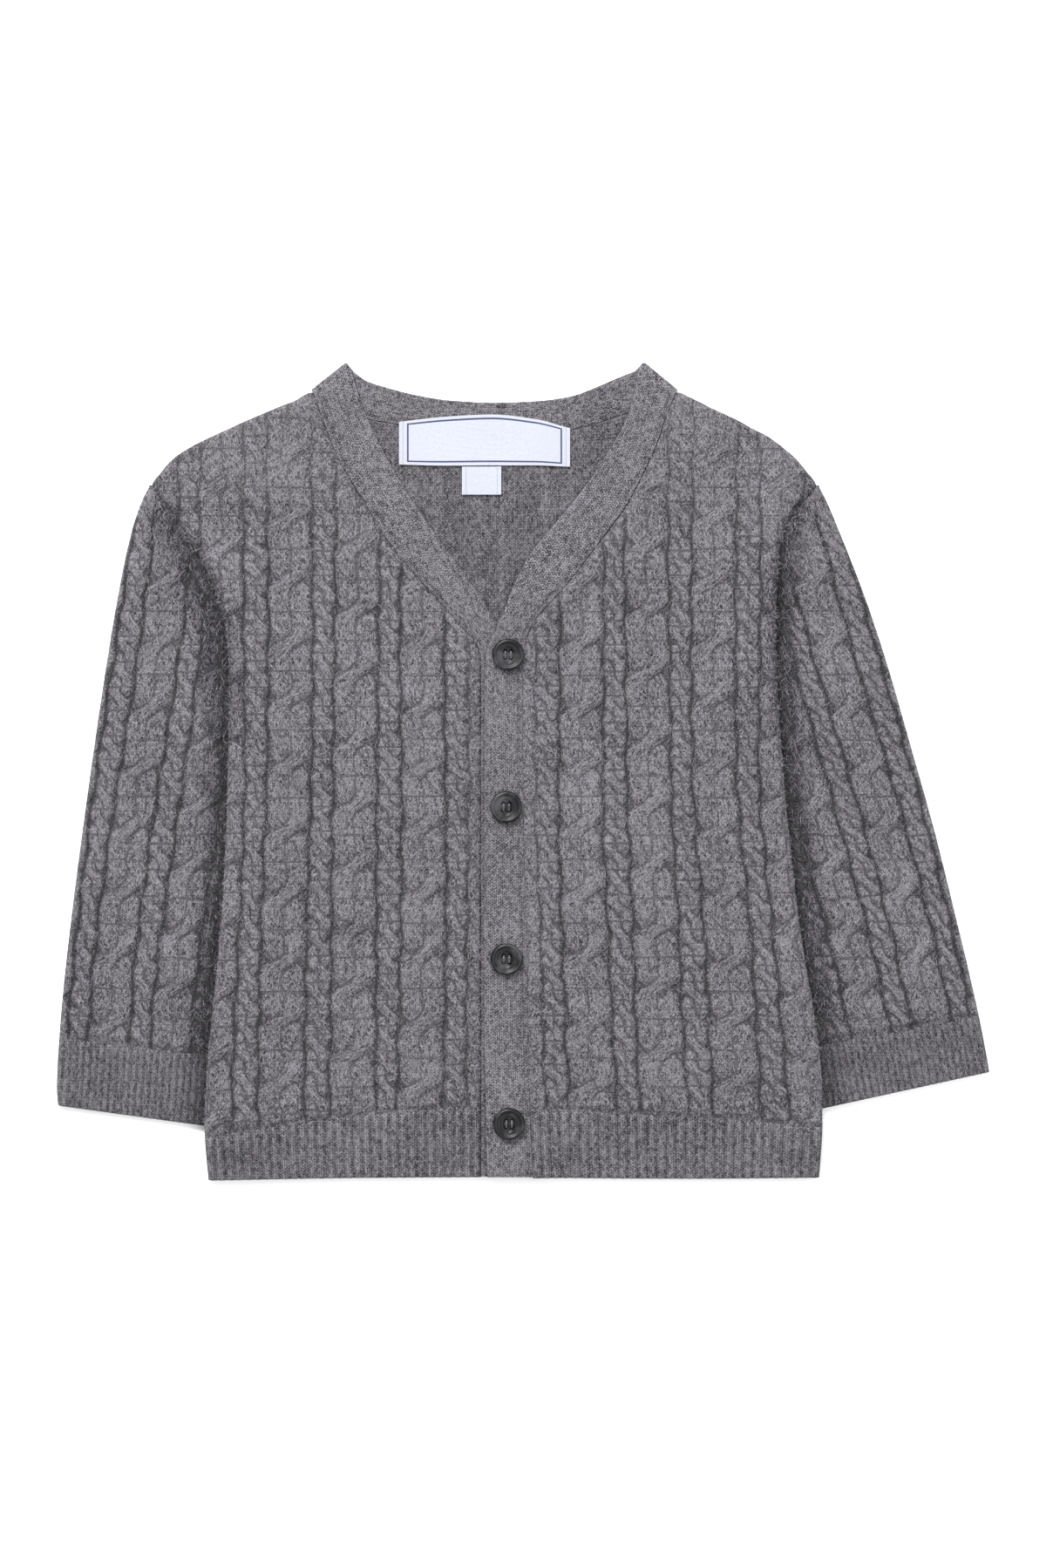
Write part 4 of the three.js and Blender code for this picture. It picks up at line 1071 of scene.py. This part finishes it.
def beside_body(side: Side, out: Array, y: Array) -> Array:
    """1 clear of the body's edge, 0 where the body lies on the sleeve."""
    return ease((out - body_edge(side, y) - 0.3) / 3.5)


def valley(side: Side, out: Array, y: Array) -> Array:
    """Shade of the hollow between sleeve and body: 1 at the body's edge, fading over 9 mm."""
    centre = 3.2 * ease((y - 20) / 30) if side is Side.RIGHT else 0.6
    beyond = np.clip(out - body_edge(side, y) - centre, 0, None)
    return np.exp(-(beyond / 6.6) ** 2) * ease((106 - y) / 22)


# Creases beside the underarm: distance out, height, half length, half width, lean in degrees, depth
CREASES = {
    Side.RIGHT: ((113.5, 33.0, 11.0, 1.7, 12.0, 0.9), (110.5, 14.0, 9.0, 1.9, -22.0, 1.0),
                 (112.0, -8.0, 12.0, 2.0, -30.0, 0.8), (117.0, 66.0, 12.0, 1.8, -20.0, 0.8),
                 (113.5, -74.0, 22.0, 1.8, 6.0, 0.9)),
    Side.LEFT: ((93.0, 58.0, 16.0, 1.7, 3.0, 0.9), (95.5, 20.0, 15.0, 1.8, 8.0, 0.8),
                (99.5, -22.0, 18.0, 1.9, 8.0, 0.8), (107.0, -66.0, 20.0, 1.9, 9.0, 0.7)),
}


def creases(side: Side, out: Array, y: Array) -> Array:
    """Troughs of the creases beside the underarm.

    Args:
        side: side of the wearer.
        out: distance from the middle.
        y: height up the garment.

    Returns:
        Depth: each crease is a smooth hollow, long one way and narrow the other.
    """
    total = np.zeros(np.broadcast(out, y).shape)
    for centre, height, length, width, lean, depth in CREASES[side]:
        turn = np.radians(lean)
        u, v = out - centre, y - height
        lengthways = (v * np.cos(turn) - u * np.sin(turn)) / length
        sideways = (u * np.cos(turn) + v * np.sin(turn)) / width
        total += depth * np.exp(-lengthways ** 2 - (sideways + 0.3 * lengthways ** 2) ** 2)
    return total


@dataclass
class Sleeve:
    """A cable-knit sleeve, pressed flat."""

    side: Side
    finish: WoolFinish
    step: float = 0.75

    def surfaces(self) -> list[Patch]:
        """Upper and lower face of the sleeve, from the cuff seam to the shoulder tip."""
        side = self.side
        start = float(along(CUFF_SEAM, side.column, np.array(168.0)))
        slant = (start - float(along(CUFF_SEAM, side.column, np.array(100.0)))) / 68
        levels = np.linspace(start, 101.6, int((101.6 - start) / self.step))[:, None]
        follow = np.clip((UNDERARM - levels) / (UNDERARM - start), 0, 1)

        def row(out: Array) -> Array:
            return levels + (out - 168) * slant * follow + 0.2 * follow

        def face(out: Array, y: Array, upper: bool) -> tuple[Array, Relief]:
            place = along(SLEEVE_LINE, side.column, y) - out
            cables = SLEEVE_CABLES[side].relief(place, y)
            from_cuff = levels - start
            if not upper:
                return np.clip(0.95 - cables.height * 0.6 + 0.4 * creases(side, out, y), 0, 1.2), cables
            clear, hollow = beside_body(side, out, y), valley(side, out, y)
            trough = creases(side, out, y)
            height = cables.height * clear * ease(from_cuff / 3) - 1.0 * hollow - 0.8 * trough
            height = height + 0.35 * waves(out, y, 11 + side.column, 50.0) * clear
            # Painted shade in the cable grooves, in the hollow beside the body and in the creases; painted
            # highlight on raised strands.
            groove = np.clip(1.2 * cables.groove * clear + 1.1 * hollow + 0.5 * trough, -0.6, 1)
            return height, Relief(cables.height, cables.across, cables.down, groove)

        return tube_patch(side, row, len(levels), self.step, face)

    def build(self, surfaces: Sequence[Patch]) -> bpy.types.Object:
        """Sleeve as a flattened tube.

        Args:
            surfaces: its upper and lower face.

        Returns:
            The piece.
        """
        thing = build_mesh(f"knit_sleeve_{self.side.label}", surfaces)
        settle(thing, self.finish.material(), "knit", f"sleeve_{self.side.label}")
        return thing


@dataclass
class Cuff:
    """Ribbed cuff of a sleeve."""

    side: Side
    finish: WoolFinish
    pitch: float = 2.4

    def build(self) -> bpy.types.Object:
        """Cuff as a flattened tube with cosine ribs, rounded at its open end.

        Returns:
            The piece.
        """
        side = self.side
        share = np.concatenate([[0, 0.01, 0.025, 0.05], np.linspace(0.08, 1, 30)])[:, None]

        def row(out: Array) -> Array:
            low = along(CUFF_END, side.column, out)
            return low + (along(CUFF_SEAM, side.column, out) + 0.3 - low) * share

        def face(out: Array, y: Array, upper: bool) -> tuple[Array, Relief]:
            place = along(SLEEVE_LINE, side.column, y) - out
            rib = 0.5 - 0.5 * np.cos(2 * np.pi * place / self.pitch)
            end = rounding(share * 24, 0.8)
            # Painted shade in the hollows between ribs and, on the upper face, in the hollow beside the body.
            dark = (1 - rib) ** 2.4 * 0.5 + 0.7 * valley(side, out, y) * upper
            relief = Relief(rib, place / self.pitch * 2.76, y, np.clip(dark, 0, 1))
            if not upper:
                return 0.5 * (1 - rib) + end, relief
            return 0.8 * rib * beside_body(side, out, y) * ease((1 - share) * 8) - end - 0.03, relief

        thing = build_mesh(f"knit_cuff_{side.label}", tube_patch(side, row, len(share), 0.3, face))
        settle(thing, self.finish.material(), "rib", f"cuff_{side.label}")
        return thing


@dataclass
class FrontBand:
    """The band: up the right front, round the back neck and down the left front."""

    finish: WoolFinish
    step: float = 0.9

    def _run(self, table: Array) -> tuple[Array, Array]:
        """Seam and free edge points along one stretch, evenly spaced."""
        seam, edge = table[:, [0, 1, 4]], table[:, [2, 3, 4]]
        move = np.linalg.norm(np.diff((seam + edge) / 2, axis=0), axis=1)
        marks = np.concatenate([[0], np.cumsum(move)])
        at = np.linspace(0, marks[-1], int(marks[-1] / self.step))
        keyed = np.concatenate([marks[:, None], seam, edge], axis=1)
        read = np.stack([along(keyed, column, at) for column in range(1, 7)], axis=1)
        return read[:, :3], read[:, 3:]

    def _fold(self, line: Sequence[float], from_front: bool) -> tuple[Array, Array, Array]:
        """Half turn over a shoulder: seam points, free edge points and normals."""
        start, end = np.array(line[:2]), np.array(line[2:])
        across = (end - start) / np.linalg.norm(end - start)
        outward = np.array([-across[1], across[0]]) * np.sign(across[0])
        turn = np.linspace(0, np.pi, 14)[:, None]
        turn = turn if from_front else turn[::-1]
        radius, centre = (SHOULDER_MID - BAND_THICK / 2) / 2, (SHOULDER_MID + BAND_THICK / 2) / 2
        move = outward * np.sin(turn) * radius
        height = centre + radius * np.cos(turn)
        normal = np.concatenate([outward * np.sin(turn), np.cos(turn)], axis=1)
        return (np.concatenate([start + move, height], axis=1),
                np.concatenate([end + move, height], axis=1), normal)

    def sections(self) -> tuple[Array, Array, Array]:
        """All sections of the band: seam points, free edge points and normals."""
        parts = []
        for table, fold, up in ((BAND_UP_RIGHT, (BAND_FOLD_RIGHT, True), 1.0),
                                (BAND_ACROSS_BACK, (BAND_FOLD_LEFT, False), -1.0),
                                (BAND_DOWN_LEFT, None, 1.0)):
            seam, edge = self._run(table)
            parts.append((seam, edge, np.tile([0, 0, up], (len(seam), 1))))
            if fold:
                parts.append(self._fold(*fold))
        return tuple(np.concatenate(group) for group in zip(*parts))

    def build(self) -> bpy.types.Object:
        """Band as a closed strip whose cross-section is a rounded flat bar.

        Returns:
            The piece.
        """
        seam, edge, normal = self.sections()
        share = np.concatenate([[0, 0.015, 0.05, 0.1], np.linspace(0.15, 0.85, 14), [0.9, 0.95, 0.985, 1]])
        half = BAND_THICK / 2
        rim = np.minimum(share / 0.03, (1 - share) / 0.07)
        thick = half * np.sqrt(np.clip(1 - (1 - rim).clip(0) ** 2, 0.02, 1))
        thick = thick - 0.1 * np.exp(-((share - 0.1) / 0.018) ** 2)
        ring = np.concatenate([share, share[::-1]])
        height = np.concatenate([thick, -thick[::-1]])
        ring, height = np.append(ring, ring[0]), np.append(height, height[0])
        base = seam[:, None] + (edge - seam)[:, None] * ring[None, :, None]
        grid = base + normal[:, None] * height[None, :, None]
        length = np.concatenate([[0], np.cumsum(np.linalg.norm(np.diff((seam + edge) / 2, axis=0), axis=1))])
        across = np.broadcast_to(ring[None] * 13.8, grid.shape[:2])
        down = np.broadcast_to(length[:, None], grid.shape[:2])
        # Painted shade along a line near the seam-side edge of the band.
        groove = np.broadcast_to(0.5 * np.exp(-((ring - 0.12) / 0.03) ** 2)[None], grid.shape[:2])
        thing = build_mesh("knit_front_band", [Patch(grid, across, down, groove)])
        settle(thing, self.finish.material(), "rib", "front_band")
        return thing


@dataclass
class Button:
    """A four-hole button sewn on with grey thread."""

    number: int
    centre: tuple[float, float]
    finish: HornFinish
    thread: WoolFinish

    def build(self) -> bpy.types.Object:
        """Button turned round its axis, with an oval hollow, four holes and two stitches.

        Returns:
            The piece.
        """
        profile = np.array([[0, 0], [4.6, 0], [5.3, 0.25], [5.65, 0.75], [5.7, 1.4], [5.55, 2.0],
                            [5.2, 2.4], [4.85, 2.5], [4.5, 2.42], [4.2, 2.15], [4.0, 1.95], [3.8, 1.9]])
        inner = np.linspace(3.6, 0, 34)
        radius = np.concatenate([profile[:, 0], inner])[:, None]
        level = np.concatenate([profile[:, 1], np.full(34, 1.9)])[:, None]
        turn = np.linspace(0, 2 * np.pi, 97)[None]
        x, y = radius * np.cos(turn), radius * np.sin(turn)
        top = np.arange(len(radius))[:, None] >= len(profile) - 1
        oval = 1 - ease((np.hypot(x / 2.1, y / 2.9) - 0.8) / 0.3)
        holes = sum(1 - ease((np.hypot(x - a, y - b) - 0.52) / 0.22)
                    for a in (-0.95, 0.95) for b in (-1.2, 1.2))
        z = level - np.where(top, 0.45 * oval + 0.9 * np.clip(holes, 0, 1), 0)
        base = TOP_BAND_MID + BAND_THICK / 2 + 0.3
        cx, cy = self.centre
        body = build_mesh(f"horn_button_{self.number}", [Patch.of(x + cx, y + cy, z + base, plain(x, y))])
        settle(body, self.finish.material(), "horn", f"button_{self.number}")
        stitches = []
        rng = np.random.default_rng(40 + self.number)
        for a in (-0.95, 0.95):
            for strand in range(3):
                t = np.linspace(0, 1, 9)
                path = np.stack([cx + a + (strand - 1) * 0.2 + rng.normal(0, 0.03) + 0 * t,
                                 cy - 1.2 + 2.4 * t, base + 1.05 + 0.75 * np.sin(np.pi * t) ** 0.5], axis=1)
                stitches.append(round_tube(path, 0.15, 6))
        # Buttonhole below the button: two stitched sides, and between them a thin tube that is all painted
        # shade, standing in for the slit.
        t = np.linspace(0, 1, 6)
        slit = np.stack([cx + 0.3 + 0 * t, cy - 5.3 - 2.3 * t, TOP_BAND_MID + 0.74 + 0 * t], axis=1)
        for move, radius, dark in ((-0.28, 0.2, 0.0), (0.0, 0.17, 1.0), (0.28, 0.2, 0.0)):
            stitches.append(round_tube(slit + [move, 0, 0], radius, 6, dark))
        yarn = build_mesh(f"button_thread_{self.number}", stitches)
        settle(yarn, self.thread.material(), "rib")
        return body


def round_tube(path: Array, radius: float, sides: int, dark: float = 0.0) -> Patch:
    """Round tube along a path.

    Args:
        path: points of the middle line.
        radius: radius of the tube.
        sides: number of sides.
        dark: painted shade given to its whole surface.

    Returns:
        The tube; its rings stand square to the path.
    """
    ahead = np.gradient(path, axis=0)
    ahead /= np.linalg.norm(ahead, axis=1, keepdims=True)
    first = np.cross(ahead, [1.0, 0.0, 0.0])
    first /= np.linalg.norm(first, axis=1, keepdims=True)
    second = np.cross(ahead, first)
    turn = np.linspace(0, 2 * np.pi, sides + 1)[None, :, None]
    grid = path[:, None] + radius * (first[:, None] * np.cos(turn) + second[:, None] * np.sin(turn))
    down = np.broadcast_to(np.arange(len(path))[:, None] * 0.4, grid.shape[:2])
    across = np.broadcast_to(turn[0, :, 0][None] * radius, grid.shape[:2])
    return Patch(grid, across, down, np.full(grid.shape[:2], dark))


@dataclass
class Label:
    """A woven label inside the neck."""

    name: str
    table: Array
    finish: WovenFinish
    base: float = 2.0

    def build(self) -> bpy.types.Object:
        """Label as a thin slab, softly waved, its ends raised a little.

        Returns:
            The piece.
        """
        share = np.concatenate([[0, 0.03], np.linspace(0.06, 0.94, 16), [0.97, 1]])
        x = np.linspace(self.table[0, 0], self.table[-1, 0], 60)[None]
        top, low = along(self.table, 1, x), along(self.table, 2, x)
        y = low + (top - low) * share[:, None]
        middle, half = (x.max() + x.min()) / 2, (x.max() - x.min()) / 2
        end = 1 - np.abs(x - middle) / half
        wave = 0.12 * waves(x, y, 21, 22.0)
        bulge = 0.22 * (1 - ease(end * half / 2.5))
        face = self.base + 0.42 + wave * ease(end * 4) + bulge
        across, down = x - middle + 0 * y, (share[:, None] - 0.5) * self.finish.length + 0 * x
        upper = Patch.of(x + 0 * y, y, face + 0 * y, plain(across, down))
        lower = Patch.of(x + 0 * y, y, face - 0.4 + 0 * y, plain(across * 0, down * 0))
        rim_x = np.concatenate([x[0], np.full(20, x[0, -1]), x[0, ::-1], np.full(20, x[0, 0])])
        rim_y = np.concatenate([y[0], y[:, -1], y[-1, ::-1], y[::-1, 0]])
        rim_z = np.concatenate([face[0], face[:, -1], face[-1, ::-1], face[::-1, 0]])
        rim = np.stack([np.stack([rim_x, rim_y, rim_z - drop], axis=-1) for drop in (0, 0.4)])
        zero = np.zeros(rim.shape[:2])
        thing = build_mesh(f"woven_{self.name}", [upper, lower, Patch(rim, zero, zero, zero)])
        settle(thing, self.finish.material(), "woven", self.name)
        return thing


@dataclass
class Cardigan:
    """The whole garment."""

    knit: WoolFinish = field(default_factory=lambda: WoolFinish("cable_knit", stitch=0.6, fuzz=0.9))
    rib: WoolFinish = field(default_factory=lambda: WoolFinish("rib_knit", stitch=1.0, fuzz=0.4))
    # Loose fibres coloured lighter than the knit: painted highlight of the fuzz.
    loose_painted_highlight: WoolFinish = field(default_factory=lambda: WoolFinish(
        "loose_fibres_painted_highlight", dark=(0.07, 0.067, 0.075, 1), light=(0.27, 0.262, 0.28, 1), stitch=0.0))
    # The inside's finish is darker than the knit: painted shade of the inside lying under the fronts.
    inside: WoolFinish = field(default_factory=lambda: WoolFinish(
        "knit_inside_painted_shade", light=(0.15, 0.144, 0.156, 1), stitch=0.8, fuzz=0.6))

    def build(self) -> None:
        """Builds every piece."""
        Back(self.knit, self.inside).build()
        BackHem(self.rib).build()
        for side in Side:
            front, sleeve = Front(side, self.knit), Sleeve(side, self.knit)
            upper, tube = front.surface(), sleeve.surfaces()
            front.build(upper)
            HemRib(side, self.rib).build()
            sleeve.build(tube)
            Cuff(side, self.rib).build()
            Fuzz(f"fuzz_front_{side.label}", 4200, self.loose_painted_highlight, 60 + side.column).build(upper)
            Fuzz(f"fuzz_sleeve_{side.label}", 2400, self.loose_painted_highlight, 70 + side.column).build(tube[0])
        FrontBand(self.rib).build()
        for number, centre in enumerate(BUTTONS, start=1):
            Button(number, centre, HornFinish(), self.rib).build()
        Label("neck_label", NECK_LABEL, WovenFinish("woven_label", 60.9, 16.6)).build()
        Label("size_label", SIZE_LABEL, WovenFinish("woven_tab", 14.0, 10.0, framed=False), 2.0).build()


@dataclass
class Studio:
    """Pale floor, soft light from the upper left and a camera straight above."""

    distance: float = 1.317
    lens: float = 85.0

    def build(self) -> None:
        """Adds floor, lights, world and camera."""
        floor = build_mesh("floor", [Patch.of(
            np.array([[-2500.0, 2500.0]] * 2), np.array([[-2500.0] * 2, [2500.0] * 2]),
            np.full((2, 2), -0.05), plain(np.zeros((2, 2)), np.zeros((2, 2))))])
        floor.data.materials.append(FloorFinish().material())
        self._light("key_light", (-0.5, 1.2, 1.4), 0.8, 74.0)
        self._light("fill_light", (0.9, -0.3, 1.5), 1.3, 16.0)
        world = bpy.data.worlds.new("studio")
        world.use_nodes = True
        world.node_tree.nodes["Background"].inputs[0].default_value = (1, 1, 1, 1)
        world.node_tree.nodes["Background"].inputs[1].default_value = 0.88
        bpy.context.scene.world = world
        bpy.context.scene.view_settings.view_transform = "Standard"
        data = bpy.data.cameras.new("camera")
        data.lens, data.sensor_width, data.sensor_fit = self.lens, 36.0, "AUTO"
        camera = bpy.data.objects.new("camera", data)
        camera.location = (-0.000155, -0.0048, self.distance + 0.004)
        bpy.context.scene.collection.objects.link(camera)
        bpy.context.scene.camera = camera

    def _light(self, name: str, place: tuple[float, float, float], size: float, power: float) -> None:
        """Adds a square light that faces the garment."""
        data = bpy.data.lights.new(name, "AREA")
        data.size, data.energy = size, power
        lamp = bpy.data.objects.new(name, data)
        lamp.location = place
        from mathutils import Vector
        lamp.rotation_euler = (-Vector(place)).to_track_quat("-Z", "Y").to_euler()
        bpy.context.scene.collection.objects.link(lamp)


def main() -> None:
    """Builds the scene."""
    logging.basicConfig(level=logging.INFO, format="%(name)s: %(message)s")
    Cardigan().build()
    Studio().build()


if __name__ == "__main__":
    main()
